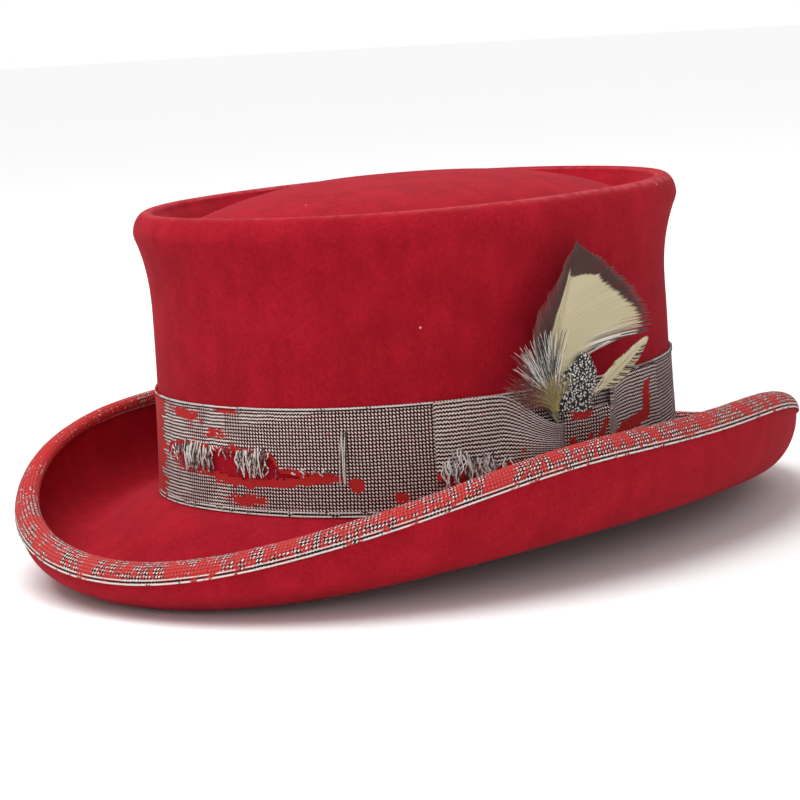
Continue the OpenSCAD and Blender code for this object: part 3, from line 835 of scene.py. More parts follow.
def build_sweatband():
    f = turns(240)
    z = np.array([1.2, 1.6, 2.4, 4, 6, 9, 13, 18, 23, 28, 33, 38, 41, 43, 43.7, 44.0])[None, :]
    dent = (0.25 * ripple(17, 5 * np.sin(f), 5 * np.cos(f), z / 30) * ease((z - 5) / 10) - 0.3
            * bump_at(z, 4, 1.4))
    r, zz = crown_rz(f, LEATHER_D + crown_d(z) - np.abs(dent) * 0.6, z)
    points = place(f, r, zz)
    band = laid_grid("sweatband_leather", points, flat_uv(points), thick=1.0)
    dress(band, cloth_finish("sweat_leather", tuple(colours().leather), rough=0.48, sheen=0.0, scale=1300,
            depth=0.14, coat=0.08),
          HAT, ["sweatband"])
    reed = round_ring("sweatband_reed_cord", lambda g: crown_rz(g, LEATHER_D - 0.8, 0.1), 1.0)
    dress(reed, cloth_finish("reed_plastic", (0.62, 0.5, 0.32), rough=0.4, sheen=0.0), HAT,
            ["sweatband_reed"])
    a = np.radians(np.linspace(180, 360, 9))
    rows = [crown_rz(f, LEATHER_D - 0.8 + 1.32 * np.cos(x), 0.1 + 1.32 * np.sin(x)) for x in a]
    rows += [crown_rz(f, LINING_D - 0.15 + crown_d(h), h) for h in (2, 4.5, 7)]
    tape_points = place(f, np.stack([p[0] for p in rows], 1)[..., 0],
            np.stack([p[1] for p in rows], 1)[..., 0])
    tape = laid_grid("sweatband_reed_tape", tape_points, flat_uv(tape_points), thick=0.22)
    dress(tape, cloth_finish("reed_tape", (0.5, 0.42, 0.3), rough=0.85), HAT, ["sweatband_tape"])
    rounded_lengths(tape_points, 1)[-1] * MM
    rounded_lengths(tape_points, 0)[-1] * MM
    count = 128
    g = (np.arange(count)[:, None] * TURN / count + np.radians(0.9) * np.linspace(-0.5, 0.5, 5)[None, :]
            * np.where(np.arange(count) % 2, 1, -1)[:, None])
    height = 4 + np.linspace(-2, 2, 5)[None, :]
    out = LEATHER_D - 1.0 - 0.12 - 0.14 * np.sin(np.linspace(0, np.pi, 5))[None, :]
    r, zz = crown_rz(g, out + crown_d(height), height)
    dress(strands("sweatband_zigzag_stitches", place(g, r, zz), 0.22), bpy.data.materials["pale_thread"], HAT,
            ["sweatband_stitches"])
    u = np.radians(180 + np.linspace(-3.4, 3.4, 15))[:, None]
    v = np.linspace(3, 41, 30)[None, :]
    lump = 0.45 * np.cos(np.linspace(-1.45, 1.45, 15))[:, None] + 0.05
    r, zz = crown_rz(u, LEATHER_D - 1.1 - lump + crown_d(v), v)
    cover = place(u, r, zz)
    strip = laid_grid("sweatband_back_cover", cover[::-1], flat_uv(cover))
    apply_modifier(strip, "SOLIDIFY", thickness=0.45 * MM, offset=-1.0)
    dress(strip, bpy.data.materials["sweat_leather"], HAT, ["sweatband_back_seam"])
    build_sweat_bow()


def build_sweat_bow():
    """A small flat ribbon bow on the back join: two loops and a wrap."""
    r, z = crown_rz(np.array([np.pi]), LEATHER_D - 1 + crown_d(44.0), np.array([11.0]))
    middle = place(np.array([np.pi]), r - 2.4, z)[0] / MM
    loops = []
    for side in (-1, 1):
        t = np.linspace(0, TURN, 33)[:, None]
        w = np.linspace(-1, 1, 7)[None, :]
        reach = 5.0 * (1 - np.cos(t)) * 0.95 * side
        depth = 0.55 * np.sin(t) * (1 - np.cos(t)) / 1.3
        tall = w * (1.1 + 1.7 * (1 - np.cos(t)) / 2)
        points = (np.stack(np.broadcast_arrays(middle[0] + reach, middle[1] - depth, middle[2] + tall), -1)
                * MM)
        loops.append(laid_grid("bow_loop", points, flat_uv(points)))
        apply_modifier(loops[-1], "SOLIDIFY", thickness=0.2 * MM, offset=0.0)
    t = np.linspace(0, TURN, 25)[:, None]
    w = np.linspace(-1, 1, 7)[None, :]
    points = (np.stack(np.broadcast_arrays(middle[0] + 1.4 * w, middle[1] + 0.95 * np.cos(t), middle[2] + 1.9
            * np.sin(t) * (1 - 0.08 * w * w)), -1) * MM)
    loops.append(laid_grid("bow_loop", points, flat_uv(points)))
    apply_modifier(loops[-1], "SOLIDIFY", thickness=0.2 * MM, offset=0.0)
    bow = joined("sweatband_ribbon_bow", *loops)
    face_out(bow)
    dress(bow, cloth_finish("bow_cord", (0.05, 0.045, 0.045), rough=0.6, sheen=0.3), HAT, ["sweatband_bow"])


def build_lining():
    top = LINING_TOP
    f = turns(320)
    z = np.concatenate([np.linspace(8, 46, 9), np.linspace(50, 86, 13), [88, top]])[None, :]
    pleat = 0.45 * (1 + np.sin(64 * f + 0.8 * np.sin(z / 9))) * ease((z - 48) / 30) * ease((top + 2 - z) / 6)
    r, zz = crown_rz(f, LINING_D + crown_d(z) - pleat, z)
    points = place(f, r, zz)
    wall = laid_grid("lining_side_satin", points, flat_uv(points), thick=0.35)
    satin = cloth_finish("black_satin", tuple(colours().satin), rough=0.3, sheen=0.1, scale=2600, depth=0.05)
    dress(wall, satin, HAT, ["lining_sidewall"])
    rounded_lengths(points, 1)[-1] * MM
    rounded_lengths(points, 0)[-1] * MM
    f = turns(200)
    u = np.linspace(0, 1, 40)[None, :]
    puff = 0.5 * ripple(5, u * np.sin(f) * 1.5, u * np.cos(f) * 1.5) * ease((1 - u) * 5)
    r, zz = crown_rz(f, -4.72, top - 0.7 + puff, u)
    points = place(f, r, zz)
    tip = laid_grid("lining_tip_satin", points[:, ::-1], flat_uv(points))
    face_out(tip)
    apply_modifier(tip, "SOLIDIFY", thickness=0.35 * MM, offset=0.0)
    dress(tip, satin, HAT, ["lining_tip"])
    piping = round_ring("lining_red_piping", lambda g: crown_rz(g, LINING_D - 0.4 - 0.9 - 0.1, top - 0.9),
            0.9)
    dress(piping, cloth_finish("red_piping", tuple(colours().piping), rough=0.4, sheen=0.3), HAT,
            ["lining_piping"])


# ---- hatband and bow ----


def tear_edges(degrees):
    """Lower and upper edge of the long tear in the hatband's front, in millimetres over the break."""
    low = np.interp(degrees, [-21, -14, -9, -3, 0, 8, 16, 22, 26],
            [19, 17.6, 15.6, 12.8, 11.6, 10.9, 12.2, 13.0, 14.0])
    high = np.interp(degrees, [-21, -18, -12, -3, 3, 11, 12.5, 23, 26],
            [19, 23.5, 25, 23.8, 24.4, 22.5, 17.6, 16.2, 14.0])
    return low, high


def hatband_marks(degrees, z):
    """How far the ribs are worn away, from 0 to 1, over the hatband."""
    low, high = tear_edges(degrees)
    middle, half = (low + high) / 2, np.maximum(0.01, (high - low) / 2)
    inside = (degrees > -21) & (degrees < 26)
    fringe = 0.35 * ripple(63, degrees / 2.2, z / 1.8)
    tear = np.where(inside, ease(1.45 + fringe - 0.9 * np.abs(z - middle) / half), 0) * ease((high - low) / 2)
    streak = ripple(61, degrees / 16, z / 2.2)
    side = 0.9 * ease((-19 - degrees + 5 * streak) / 7) * ease((degrees + 75) / 15)
    top = bump_at(degrees, 0.5, 6) * ease((z - 35) / 3)
    ragged = 0.95 + 0.45 * ripple(62, degrees / 2.4, z / 2.0)
    low_left = (ragged * (0.95 * bump_at(degrees, 5, 9) * bump_at(z, 6, 4.5) + 0.9 * bump_at(degrees, -12, 10)
            * bump_at(z, 13 - 0.25 * degrees, 4)))
    upper_left = (ragged * (0.95 * bump_at(degrees, -12, 11) * bump_at(z, 33.5 - 0.12 * degrees, 4) + 0.7
            * bump_at(degrees, -3, 8) * bump_at(z, 29, 4)))
    spot = (ragged * bump_at(degrees, 27.5, 2.4) * bump_at(z, 12, 4.5) * 1.35 + 0.8 * ragged
            * bump_at(degrees, 36, 4) * bump_at(z, 7, 4))
    wing = bump_at(degrees, 53, 14) * bump_at(z, 12, 9) * 1.4
    return np.clip(np.maximum.reduce(np.broadcast_arrays(tear, side, top, low_left, upper_left, spot, wing)),
            0, 1)


def build_hatband():
    s = sizes()
    nu, nv = 740, 48
    f = turns(nu)
    z = np.linspace(s.band_z, s.band_w, nv + 1)[None, :]
    degrees = signed(f)
    low, high = tear_edges(degrees)
    curl = 0.35 * bump_at(z, high + 0.6, 1.8) * (degrees > -20) * (degrees < 25)
    slack = (0.12 * (1 + ripple(41, 4 * np.sin(f), 4 * np.cos(f), z / 25)) + 0.18 * bump_at(z, 38.6, 1.2)
            + 0.12 * bump_at(z, 1.5, 1.2))
    r, zz = crown_rz(f, 0.72 + slack + curl + crown_d(z), z)
    points = place(f, r, zz)
    mid_deg = (degrees[:-1] + degrees[1:]) / 2
    mid_z = (z[:, :-1] + z[:, 1:]) / 2
    ragged = 0.8 * ripple(3, mid_deg / 1.6, mid_z / 9) + 0.5 * ripple(6, mid_deg / 0.7, mid_z / 5)
    low, high = tear_edges(mid_deg)
    cut = (mid_z > low + 2.6 + ragged) & (mid_z < high - 1.4 + ragged) & (mid_deg > -18) & (mid_deg < 22)
    uv = flat_uv(points, s.rib)
    dotted = (ease((degrees + 2 + 5 * ripple(51, degrees / 30, z / 22)) / 5) * ease((46 - degrees) / 3)
            * ease((33 + degrees * 0.3 - z) / 3))
    piece = laid_grid("hatband_grosgrain", points, uv, cut=cut, thick=0.6,
            marks={"worn": hatband_marks(degrees, z), "dotted": dotted})
    width = uv[0, -1, 1]
    # The pale lines are edge threads; the dark ones beside them are painted shadow.
    edges = [(0.35, 0.24, 1), (1.0, 0.26, 0), (1.65, 0.2, 1), (width - 0.35, 0.24, 1), (width - 1.0, 0.24, 0)]
    dress(piece, ribbed_ribbon("worn_ribbon", wear=0.15, waver=0.11, dots=0.9, edges=edges), HAT,
            ["hatband_ribbon"])
    build_band_frays()
    count = 8
    g = (np.arange(count)[:, None] * 45 + 3.75) * np.pi / 180
    h = 37.7 + np.linspace(-1.5, 1.5, 5)[None, :]
    r, zz = crown_rz(g, 0.95 + 0.15 * np.sin(np.linspace(0, np.pi, 5))[None, :] + crown_d(h), h)
    dress(strands("hatband_thread_tacks", place(g, r, zz), 0.27),
            thread_finish("dark_thread", (0.10, 0.07, 0.07), (0.2, 0.15, 0.14)), HAT, ["hatband_tacks"])


def hanging(seed, count, span, top, bottom, bulge, wander=0.6):
    """Lines of loose warp threads over a tear: angles in degrees, heights over the break, how far they stand out."""
    rng = np.random.default_rng(seed)
    k = np.linspace(0, 1, 11)[None, :]
    at = rng.uniform(span[0], span[1], (count, 1))
    start, end = top + rng.uniform(-1.4, 1.2, (count, 1)), bottom + rng.uniform(-1.6, 2.6, (count, 1))
    wave = (rng.uniform(-1, 1, (count, 1))
            * np.sin(k * rng.uniform(4, 9, (count, 1)) + rng.uniform(0, 6, (count, 1))))
    degrees = at + wander * wave * ease(k * 2) + rng.uniform(-0.9, 0.9, (count, 1)) * k
    z = mix(start, end, k)
    out = 1.0 + bulge * np.sin(np.pi * k * 0.85) * rng.uniform(0.4, 1.0, (count, 1)) + 0.25 * wave
    return np.radians(degrees), np.maximum(out, 0.7), z


def loose_threads(tears, lift=0.0):
    """Lines of the loose threads over several tears, lifted off the hatband; each tear is what hanging takes."""
    lines = []
    for tear in tears:
        g, out, z = hanging(*tear)
        r, zz = crown_rz(g, out + lift + crown_d(z), z)
        lines.append(place(g, r, zz))
    return np.concatenate(lines)


def build_band_frays():
    """Loose threads that hang over the tear, and the long pulled one beside it."""
    threads = loose_threads((
            (1, 42, (-12.5, -3.6), 24.6, 15.8, 1.2), (2, 38, (2.6, 10.6), 24.0, 15.8, 1.3),
            (3, 7, (-4, 3), 24.2, 21.5, 0.6), (4, 10, (11, 22), 17.2, 15.6, 0.3),
            (5, 12, (-18, -12), 22.5, 19, 0.6),
            (8, 5, (24.7, 26.1), 31.5, 13.5, 1.5, 0.25)))
    piece = strands("hatband_frayed_threads", threads, 0.22, sides=5)
    dress(piece, thread_finish("frayed_thread", (0.045, 0.025, 0.025), shade(colours().pale, 1.15)), HAT)


def knot_frame():
    """Middle of the knot on the wall, in millimetres, and its axes: out of the wall, back and up the stems."""
    s = sizes()
    e = math.radians(0.5)
    f = np.array([s.knot_at - e, s.knot_at + e])
    r, z = crown_rz(f, 0.0, np.full(2, s.band_w / 2))
    a, b = place(f, r, z) / MM
    back = (b - a) / np.linalg.norm(b - a)
    out, up = np.array([back[1], -back[0], 0]), np.array([0, 0, 1.0])
    x = out * math.cos(s.lean) - up * math.sin(s.lean)
    z = up * math.cos(s.lean) + out * math.sin(s.lean)
    return (a + b) / 2, np.stack([x, back, z])


def in_knot(x, y, z):
    """Row-frame points, in metres, of places given in the knot's own frame in millimetres."""
    middle, axes = knot_frame()
    return (middle + np.stack(np.broadcast_arrays(x, y, z), -1) @ axes) * MM


WING_X, WING_END = 4.8, 34.0


def wing_points(side, g, v, t):
    """Points of a bow wing: g degrees from the knot, v from -1 to 1 up it, t out from its back."""
    s = sizes()
    f = s.knot_at + side * np.radians(g)
    pinch_h, lay_over = (19.0, 7.0) if side > 0 else (17.0, 12.0)
    h = mix(pinch_h, s.band_w - s.band_z, ease(g / WING_END * 1.6))
    z = (s.band_w + s.band_z) / 2 + v * h / 2
    r, zz = crown_rz(f, 1.1 + t + crown_d(z), z)
    flat = place(f, r, zz)
    pinch = in_knot(WING_X + t, side * g * 1.52, v * pinch_h / 2)
    blend = ease((g - 8) / lay_over)[..., None]
    return pinch * (1 - blend) + flat * blend, z


def build_wing(side, name, node):
    s = sizes()
    g = np.linspace(0.1, WING_END, 150)[:, None]
    v = np.linspace(-1, 1, 61)[None, :]
    fold = (0.42 * np.cos(v * 7.5 + 0.6 * side) * bump_at(g, 13, 9) + 0.25 * np.sin(v * 4 + g / 5)
            * ease((g - 16) / 8) * ease((WING_END - g) / 4))
    hem = 0.25 * bump_at(g, WING_END - 1.2, 1.4)
    points, z = wing_points(side, g, v, 1.5 + fold + hem)
    degrees = math.degrees(s.knot_at) + side * g
    centre, half = (np.interp(degrees, [42, 52, 58, 66], [10, 11.2, 13, 14.2]),
            np.interp(degrees, [41, 44, 52, 60, 66], [2.2, 2.4, 2.0, 1.4, 0]))
    ragged = 0.7 * ripple(13, degrees / 1.5, z / 9) + 0.4 * ripple(15, degrees / 0.6, z / 5)
    if side < 0:
        torn = np.abs(z - centre - ragged) < half
        worn = ease(1.7 - np.abs(z - centre) / np.maximum(half + 1.2, 0.01)) * (degrees < 67)
        worn = np.maximum(worn, 0.55 * bump_at(degrees, 50, 8) * bump_at(z, 15, 6))
        cut = (torn[:-1, :-1] & torn[1:, 1:]) & (degrees[:-1] < 66)
    else:
        rise = (1.2 * bump_at(g, 27.0 + 0.15 * (z - 20) + ripple(71, z / 5, 0.0 * g), 2.9)
                * ease((z - 18) / 3) * ease((37 - z) / 6))
        foot = (1.3 * bump_at(z, 19.5 + 0.25 * (g - 18) + ripple(72, g / 4, 0.0 * z), 3.9)
                * ease((g - 10) / 3) * ease((29 - g) / 3))
        worn = np.maximum(rise, foot)
        cut = None
    uv = flat_uv(points)
    if side < 0:
        points, uv, worn, cut = points[::-1], uv[::-1], worn[::-1], cut[::-1]
    piece = laid_grid(name, points, uv, cut=cut, thick=1.3,
            marks={"worn": worn, "dotted": 0.35 * ease((g - 27) / 3)})
    dress(piece, bpy.data.materials["bow_ribbon"], HAT, [node])
    rounded_lengths(points, 0)[-1] * MM
    return piece


def build_knot():
    y = np.linspace(-11, 11, 67)[:, None]
    a = np.linspace(0, TURN, 97)[None, :]
    waist = 1 - 0.05 * np.cos(y / 11 * np.pi / 2)
    power = 0.55
    x = 5.85 + 1.72 * boxed(np.cos(a), power) + 0.28 * np.cos(y * 0.9 + 2 * np.sin(a * 2)) * (np.cos(a) > 0.2)
    z = 12.5 * waist * boxed(np.sin(a), power)
    points = in_knot(x, y - 0.07 * z, z)
    rib = flat_uv(points)
    worn = (1.2 * bump_at(y, -8.0, 3.5) * bump_at(z, 0, 6) + 1.15 * bump_at(y - 0.3 * z, 0, 3.0)
            * bump_at(z, 1, 5.5))
    worn = (worn + 1.2 * bump_at(y - 0.7 * (z - 4), 7.5, 3.0) * bump_at(z, 4, 6) + 1.0 * bump_at(y, -2.5, 9)
            * ease((z - 8) / 2))
    piece = laid_grid("bow_ribbon_knot", points, rib, thick=0.5, marks={"worn": worn, "dotted": 0.8})
    dress(piece, bpy.data.materials["bow_ribbon"], HAT, ["bow_knot"])


def build_bow():
    width = sizes().band_w - sizes().band_z
    # Pale edge threads, with dark lines beside them as painted shadow.
    ribbed_ribbon("bow_ribbon", wear=0.16, waver=0.10, dots=0.45,
            edges=[(0.35, 0.24, 1), (1.0, 0.24, 0), (width - 0.35, 0.24, 1), (width - 1.0, 0.24, 0)])
    build_wing(-1, "bow_front_ribbon", "bow_front_wing")
    build_wing(1, "bow_back_ribbon", "bow_back_wing")
    build_knot()
    threads = loose_threads((
            (11, 34, (43.8, 55), 19.5, 10.4, 1.2), (12, 20, (52, 64), 17.5, 12.6, 0.8),
            (14, 8, (44, 50), 22, 14, 1.0)), 1.9)
    frays = strands("bow_frayed_threads", threads, 0.25, sides=5)
    dress(frays, bpy.data.materials["frayed_thread"], HAT)


# ---- feather mount ----


STEM_X, BLADE_X, PLUME_FOOT = 2.8, 3.8, (-18.0, 18.0)


def plume_point(layer, foot, across, up, rise=0.0):
    """Row-frame points of a feather's plane: across towards the back and up from its foot, rise out of it."""
    t = sizes().plume_turn
    return in_knot(BLADE_X + layer + rise + across * math.sin(t), foot[0] + across * math.cos(t), foot[1]
            + up)


def smooth_path(points, count, sweep=1.0):
    """A smooth line through a few points, given as count points along it, denser at its start with more sweep."""
    line = softened(np.asarray(points, float)[None], 4)[0]
    step = np.concatenate([[0], np.cumsum(np.linalg.norm(np.diff(line, axis=0), axis=1))])
    at = step[-1] * np.linspace(0, 1, count) ** sweep
    return np.stack([np.interp(at, step, line[:, i]) for i in (0, 1)], -1)


def vane(name, layer, foot, spine, tips, count, seed, width, cup=0.0, split=0.6, flip=1.0, sweep=1.0,
        bow=0.10):
    """One side of a feather: flat barbs from the spine out to the line of tips, some parted in locks."""
    rng = np.random.default_rng(seed)
    steps = 10
    root, tip = smooth_path(spine, count, sweep), smooth_path(tips, count)
    lock = np.interp(np.arange(count), np.arange(0, count + 7, 7),
            rng.uniform(-1, 1, len(np.arange(0, count + 7, 7))))
    reach = tip - root
    span = np.linalg.norm(reach, axis=1, keepdims=True)
    normal = np.stack([reach[:, 1], -reach[:, 0]], -1) / np.maximum(span, 1e-6)
    tip = (tip + normal * (lock * split + rng.uniform(-0.12, 0.12, count))[:, None] + reach
            * rng.uniform(-0.035, 0.02, (count, 1)))
    k = np.linspace(0, 1, steps + 1)[None, :, None]
    bend = normal[:, None] * (span[:, None] * bow * np.sin(np.pi * k)) * flip
    line = root[:, None] * (1 - k) + tip[:, None] * k + bend
    near, far = width
    half = (near * (1 - k) + far * k) / 2 * np.clip((1.0 - k) * 9, 0.12, 1)
    sides = np.stack([line - normal[:, None] * half, line + normal[:, None] * half], 1).reshape(2 * count,
            steps + 1, 2)
    along = np.repeat(np.arange(count) % 2 * 0.07, 2)[:, None]
    rise = (cup * (np.repeat(span, 2, 0) * np.linspace(0, 1, steps + 1)[None]) ** 2 / 100 + along
            + np.repeat(lock, 2)[:, None] * 0.25 * np.linspace(0, 1, steps + 1)[None] ** 2)
    points = plume_point(layer, foot, sides[..., 0], sides[..., 1], rise)
    uv = np.stack(np.broadcast_arrays(np.linspace(0, 1, steps + 1)[None, :] * flip,
            np.repeat(np.linspace(0, 1, count), 2)[:, None]), -1)
    cut = np.zeros((2 * count - 1, steps), bool)
    cut[1::2] = True
    piece = laid_grid(name, points, uv, cut=cut, corner=80)
    apply_modifier(piece, "SOLIDIFY", thickness=0.05 * MM, offset=0.0, use_rim=True)
    return piece


def rachis(layer, foot, spine, radius, name="rachis"):
    line = smooth_path(spine, 24)
    points = plume_point(layer, foot, line[:, 0], line[:, 1], 0.12)
    taper = np.linspace(radius, radius * 0.25, 24)[None]
    return strands(name, points[None], taper, sides=7, kinds=[0.0])


def leaf(length, lean, left, right, widest, point=0.8, steps=9):
    """Spine and the two tip lines of a leaf-shaped feather that leans from upright, in its own plane."""
    axis = np.array([math.sin(lean), math.cos(lean)])
    side = np.array([axis[1], -axis[0]])
    k = np.linspace(0, 1, steps)
    full = np.where(k < widest, np.sin(np.pi / 2 * k / widest),
            np.cos(np.pi / 2 * (k - widest) / (1 - widest)) ** point)
    spine = k[:, None] * 0.94 * length * axis
    ahead = np.minimum(k + 0.16, 1.0)[:, None] * length * axis
    return spine, ahead - side * (left * full)[:, None], ahead + side * (right * full)[:, None]


def build_feathers():
    c = colours()
    quill = cloth_finish("quill_horn", tuple(c.quill), rough=0.35, sheen=0.0, scale=1800, depth=0.03)
    spine = [(0, -3), (1, 10), (2.8, 21), (5.6, 30), (9.2, 41), (11, 51)]
    back = [(3.0, 6), (7, 11), (13, 15), (23, 17), (35, 18), (47.5, 17), (48.5, 24), (43, 31), (34, 38.5),
            (23, 46), (15, 50), (11, 52.5)]
    front = [(-2.5, 5), (-5.4, 13), (-7.4, 20), (-6.6, 26), (-2.8, 32.5), (1.8, 38.5), (6.2, 44.5),
            (10.8, 51.5)]
    right = vane("plume_back", 1.0, PLUME_FOOT, spine, back, 190, 5, (0.62, 0.48), cup=-0.10, split=0.8,
            sweep=1.8, bow=-0.05)
    left = vane("plume_front", 1.0, PLUME_FOOT, spine, front, 130, 6, (0.55, 0.24), split=0.9, flip=-1.0,
            sweep=1.4)
    plume = joined("plume_vanes", right, left)
    dress(plume, vane_finish("cream_feather", plume_paint), MOUNT, ["main_feather"])
    dress(rachis(1.0, PLUME_FOOT, spine[:5], 0.42, "plume_rachis"), quill, MOUNT)

    foot = (0.0, 14.5)
    spine, low, high = leaf(34, math.radians(55), 2.8, 5.2, 0.40, point=1.5)
    small = joined("small_feather_vanes",
                   vane("small_a", 2.0, foot, spine, low, 90, 7, (0.42, 0.42), flip=-1.0, split=0.3),
                   vane("small_b", 2.0, foot, spine, high, 90, 8, (0.42, 0.42), split=0.4))
    dress(small, vane_finish("small_cream_feather", small_paint), MOUNT, ["small_feather"])
    dress(rachis(2.0, foot, spine, 0.35, "small_feather_rachis"), quill, MOUNT)

    foot = (-8.5, 13.5)
    spine = [(0, -1), (1.5, 6), (3.5, 12), (5, 17)]
    low = [(-8, 0), (-8.5, 4), (-7, 9), (-3.5, 13), (1, 16.5), (5, 18.8)]
    high = [(10, 0), (11.5, 4), (11.8, 9), (10.5, 14), (8, 17.5), (5.5, 18.8)]
    spotted = joined("speckled_feather_vanes",
                     vane("spot_a", 3.0, foot, spine, low, 80, 9, (0.4, 0.40), flip=-1.0, cup=-0.3,
            split=1.0),
                     vane("spot_b", 3.0, foot, spine, high, 80, 10, (0.4, 0.40), cup=-0.3, split=1.0))
    dress(spotted, vane_finish("speckled_feather", speckled_paint), MOUNT, ["speckled_feather"])

    dress(tuft("striped_fan", 4.0, (-18.0, 17.0), 190, (-2, 52), (13, 26), 0.26, 21),
            strand_finish("striped_feather", (0.01, 0.01, 0.01), (0.9, 0.88, 0.82), (0.75, 0.72, 0.68), 0.9),
          MOUNT, ["striped_feather"])
    dress(tuft("hackle_barbs", 4.8, (-19.5, 16.0), 110, (40, 84), (12, 24), 0.16, 22),
            strand_finish("brown_hackle", shade(c.hackle, 0.45), shade(c.hackle, 1.8), (0.34, 0.16, 0.14),
            0.7),
          MOUNT, ["hackle_tuft"])
    dress(tuft("olive_down", 5.2, (-18.5, 14.5), 260, (-14, 50), (6, 14), 0.12, 23, curl=3.0),
            strand_finish("olive_fluff", shade(c.olive, 0.40), shade(c.olive, 1.25), (0.60, 0.50, 0.30), 0.5),
          MOUNT, ["olive_tuft"])
    build_stems(quill)


def tuft(name, layer, foot, count, angles, lengths, radius, seed, curl=1.2):
    """Loose barbs that fan out of one foot; angles lean towards the front, in degrees."""
    rng = np.random.default_rng(seed)
    k = np.linspace(0, 1, 8)[None, :]
    lean = np.radians(rng.uniform(*angles, (count, 1)))
    length = rng.uniform(*lengths, (count, 1))
    turn = lean + np.radians(rng.uniform(-14, 14, (count, 1))) * k * curl / 1.2
    across = -np.sin(turn) * length * k + rng.uniform(-1.2, 1.2, (count, 1)) * (1 - k)
    up = np.cos(turn) * length * k + rng.uniform(-0.8, 0.8, (count, 1)) * (1 - k)
    rise = rng.uniform(-0.6, 0.8, (count, 1)) * (0.5 + k) + curl * rng.uniform(0.0, 0.5, (count, 1)) * k ** 2
    points = plume_point(layer, foot, across, up, rise)
    thin = radius * np.clip(1.15 - k, 0.25, 1)
    kinds = (rng.random(count) > 0.5) * 0.86 + rng.random(count) * 0.14 if "striped" in name else None
    return strands(name, points, thin, sides=4, kinds=kinds)


def build_stems(quill):
    """The horn stems behind the knot, bound with thread at their upper end."""
    slant = math.radians(42)
    axis, side = np.array([-math.sin(slant), math.cos(slant)]), np.array([math.cos(slant), math.sin(slant)])
    k = np.linspace(0, 1, 16)[None, :]
    y = np.array([-2.4, -0.8, 0.8, 2.4])[:, None]
    reach = mix(-10 + np.abs(y), 24.0, k)
    flat = reach[..., None] * axis + y[..., None] * side
    stems = strands("feather_quill_stems", in_knot(STEM_X, flat[..., 0], flat[..., 1]), 0.66
            * np.clip(k * 12 + 0.4, 0, 1), sides=10)
    dress(stems, quill, MOUNT, ["feather_stems"])
    t = np.linspace(0, 9 * TURN, 290)
    along = np.linspace(18.2, 22.8, 290)
    over, out = 3.4 * np.sin(t), 0.92 * boxed(np.cos(t), 0.6)
    flat = along[:, None] * axis + over[:, None] * side
    wrap = strands("stem_thread_wrap", in_knot(STEM_X + out, flat[:, 0], flat[:, 1])[None], 0.3, sides=6,
            kinds=[0.5])
    dress(wrap, bpy.data.materials["dark_thread"], MOUNT, ["stem_wrap"])


# ---- stage ----


def build_stage():
    bpy.ops.object.select_all(action="DESELECT")
    bpy.ops.mesh.primitive_plane_add(size=60, location=(0, 0, 0))
    floor = bpy.context.object
    floor.name = "studio_floor"
    in_edit(floor, lambda: bpy.ops.mesh.subdivide(number_cuts=3))
    finish, tree, shader = new_finish("pale_floor_painted_glow", Roughness=0.9, Specular_IOR_Level=0.1)
    tone = noise(tree, object_place(tree), 3.0, 2)
    c = tuple(colours().floor)
    tree.links.new(blend_colour(tree, tone, shade(c, 0.985), c), shader.inputs["Base Color"])
    # Painted glow: the floor glows more the farther it lies from the hat, up to mid grey, so its far part reads white.
    away = new_node(tree, "VectorMath", {0: object_place(tree)}, operation="LENGTH").outputs["Value"]
    tree.links.new(blend_colour(tree, spread(tree, away, 0.4, 1.8), (0, 0, 0), (0.47, 0.47, 0.47)),
            shader.inputs["Emission Color"])
    shader.inputs["Emission Strength"].default_value = 1.0
    floor.data.materials.append(finish)
    for name, spot, aim, size, watts in (
            ("overhead_softbox", (-0.25, -0.35, 1.35), (0, 0, 0.08), 1.3, 19.0),
            ("front_fill", (1.3, -1.35, 0.55), (0, 0, 0.07), 1.2, 7.0),
            ("back_rim", (-0.9, 1.2, 0.9), (0, 0, 0.1), 0.9, 4.0)):
        bpy.ops.object.light_add(type="AREA", location=spot)
        lamp = bpy.context.object
        lamp.name = name
        lamp.data.shape, lamp.data.size, lamp.data.energy = "DISK", size, watts
        lamp.rotation_euler = (Vector(aim) - Vector(spot)).to_track_quat("-Z", "Y").to_euler()
    world = bpy.context.scene.world or bpy.data.worlds.new("studio")
    bpy.context.scene.world = world
    world.use_nodes = True
    tree = world.node_tree
    tree.nodes["Background"].inputs["Color"].default_value = (1, 1, 1, 1)
    seen = new_node(tree, "LightPath").outputs["Is Camera Ray"]
    tree.links.new(spread(tree, seen, 0.0, 1.0, 0.50, 1.0), tree.nodes["Background"].inputs["Strength"])
    bpy.context.scene.view_settings.view_transform = "Standard"
    place_camera()


def place_camera():
    azimuth, elevation, roll = (math.radians(a) for a in (CAMERA_AZIMUTH, CAMERA_ELEVATION, CAMERA_ROLL))
    back = Vector((math.sin(azimuth) * math.cos(elevation), -math.cos(azimuth) * math.cos(elevation),
            math.sin(elevation)))
    right = (-back).cross(Vector((0, 0, 1))).normalized()
    up = right.cross(-back)
    look_from = Vector((0, 0, AIM_HEIGHT)) + back * CAMERA_AWAY
    look_at = Vector((0, 0, AIM_HEIGHT)) - right * AIM_LEFT - up * AIM_DOWN
    ahead = (look_at - look_from).normalized()
    r = ahead.cross(Vector((0, 0, 1))).normalized()
    u = r.cross(ahead)
    r, u = r * math.cos(roll) - u * math.sin(roll), u * math.cos(roll) + r * math.sin(roll)
    bpy.ops.object.camera_add(location=look_from)
    camera = bpy.context.object
    camera.name = "hat_camera"
    camera.rotation_euler = Matrix((r, u, -ahead)).transposed().to_euler()
    camera.data.lens, camera.data.sensor_width = CAMERA_LENS, SENSOR_WIDTH
    camera.data.clip_start = 0.01
    bpy.context.scene.camera = camera


# ---- operators ----


class HAT_OT_felt(bpy.types.Operator):
    """Build the felt crown and brim"""

    bl_idname = "hat.felt"
    bl_label = "Felt body"

    def execute(self, context):
        build_felt()
        return {"FINISHED"}


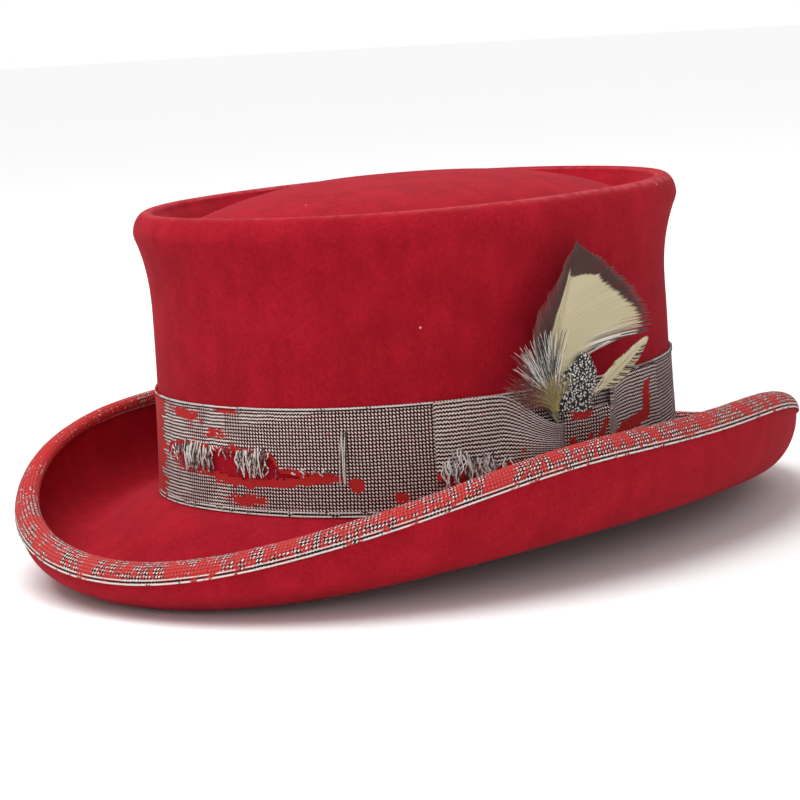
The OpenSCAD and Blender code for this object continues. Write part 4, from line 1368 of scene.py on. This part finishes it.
class HAT_OT_brim_trim(bpy.types.Operator):
    """Build the brim's ribbon binding and its stitches, and finish the wire"""

    bl_idname = "hat.brim_trim"
    bl_label = "Brim binding"

    def execute(self, context):
        build_binding()
        build_binding_stitches()
        build_wire_finish()
        return {"FINISHED"}


class HAT_OT_sweatband(bpy.types.Operator):
    """Build the leather sweatband with its reed, tape, stitches, cover strip and small bow"""

    bl_idname = "hat.sweatband"
    bl_label = "Sweatband"

    def execute(self, context):
        build_sweatband()
        return {"FINISHED"}


class HAT_OT_lining(bpy.types.Operator):
    """Build the satin lining and its piping"""

    bl_idname = "hat.lining"
    bl_label = "Lining"

    def execute(self, context):
        build_lining()
        return {"FINISHED"}


class HAT_OT_hatband(bpy.types.Operator):
    """Build the torn ribbon hatband, its frayed threads and its tacks"""

    bl_idname = "hat.hatband"
    bl_label = "Hatband"

    def execute(self, context):
        build_hatband()
        return {"FINISHED"}


class HAT_OT_bow(bpy.types.Operator):
    """Build the side bow's two wings, its knot and its frayed threads"""

    bl_idname = "hat.bow"
    bl_label = "Side bow"

    def execute(self, context):
        build_bow()
        return {"FINISHED"}


class HAT_OT_feathers(bpy.types.Operator):
    """Build the lift-out feather mount"""

    bl_idname = "hat.feathers"
    bl_label = "Feather mount"

    def execute(self, context):
        build_feathers()
        return {"FINISHED"}


class HAT_OT_stage(bpy.types.Operator):
    """Build the floor, the lights and the camera"""

    bl_idname = "hat.stage"
    bl_label = "Stage"

    def execute(self, context):
        build_stage()
        return {"FINISHED"}


PIECES = (HAT_OT_felt, HAT_OT_brim_trim, HAT_OT_sweatband, HAT_OT_lining, HAT_OT_hatband, HAT_OT_bow,
        HAT_OT_feathers, HAT_OT_stage)


class HAT_PT_panel(bpy.types.Panel):
    """Lists the hat's sizes, colours and pieces"""

    bl_idname = "HAT_PT_panel"
    bl_label = "Felt Top Hat"
    bl_space_type = "VIEW_3D"
    bl_region_type = "UI"
    bl_category = "Hat"

    def draw(self, context):
        layout = self.layout
        for piece in PIECES:
            layout.operator(piece.bl_idname)
        for group, title in ((context.scene.hat_sizes, "Sizes (mm)"), (context.scene.hat_colours, "Colours")):
            box = layout.box()
            box.label(text=title)
            for key in group.__annotations__:
                box.prop(group, key)


CLASSES = (HatSizes, HatColours, *PIECES, HAT_PT_panel)


def register():
    for cls in CLASSES:
        bpy.utils.register_class(cls)
    bpy.types.Scene.hat_sizes = bpy.props.PointerProperty(type=HatSizes)
    bpy.types.Scene.hat_colours = bpy.props.PointerProperty(type=HatColours)


def unregister():
    del bpy.types.Scene.hat_colours
    del bpy.types.Scene.hat_sizes
    for cls in reversed(CLASSES):
        bpy.utils.unregister_class(cls)


def main():
    register()
    make_groups()
    bpy.ops.hat.felt()
    bpy.ops.hat.brim_trim()
    bpy.ops.hat.sweatband()
    bpy.ops.hat.lining()
    bpy.ops.hat.hatband()
    bpy.ops.hat.bow()
    bpy.ops.hat.feathers()
    bpy.ops.hat.stage()


if __name__ == "__main__":
    main()
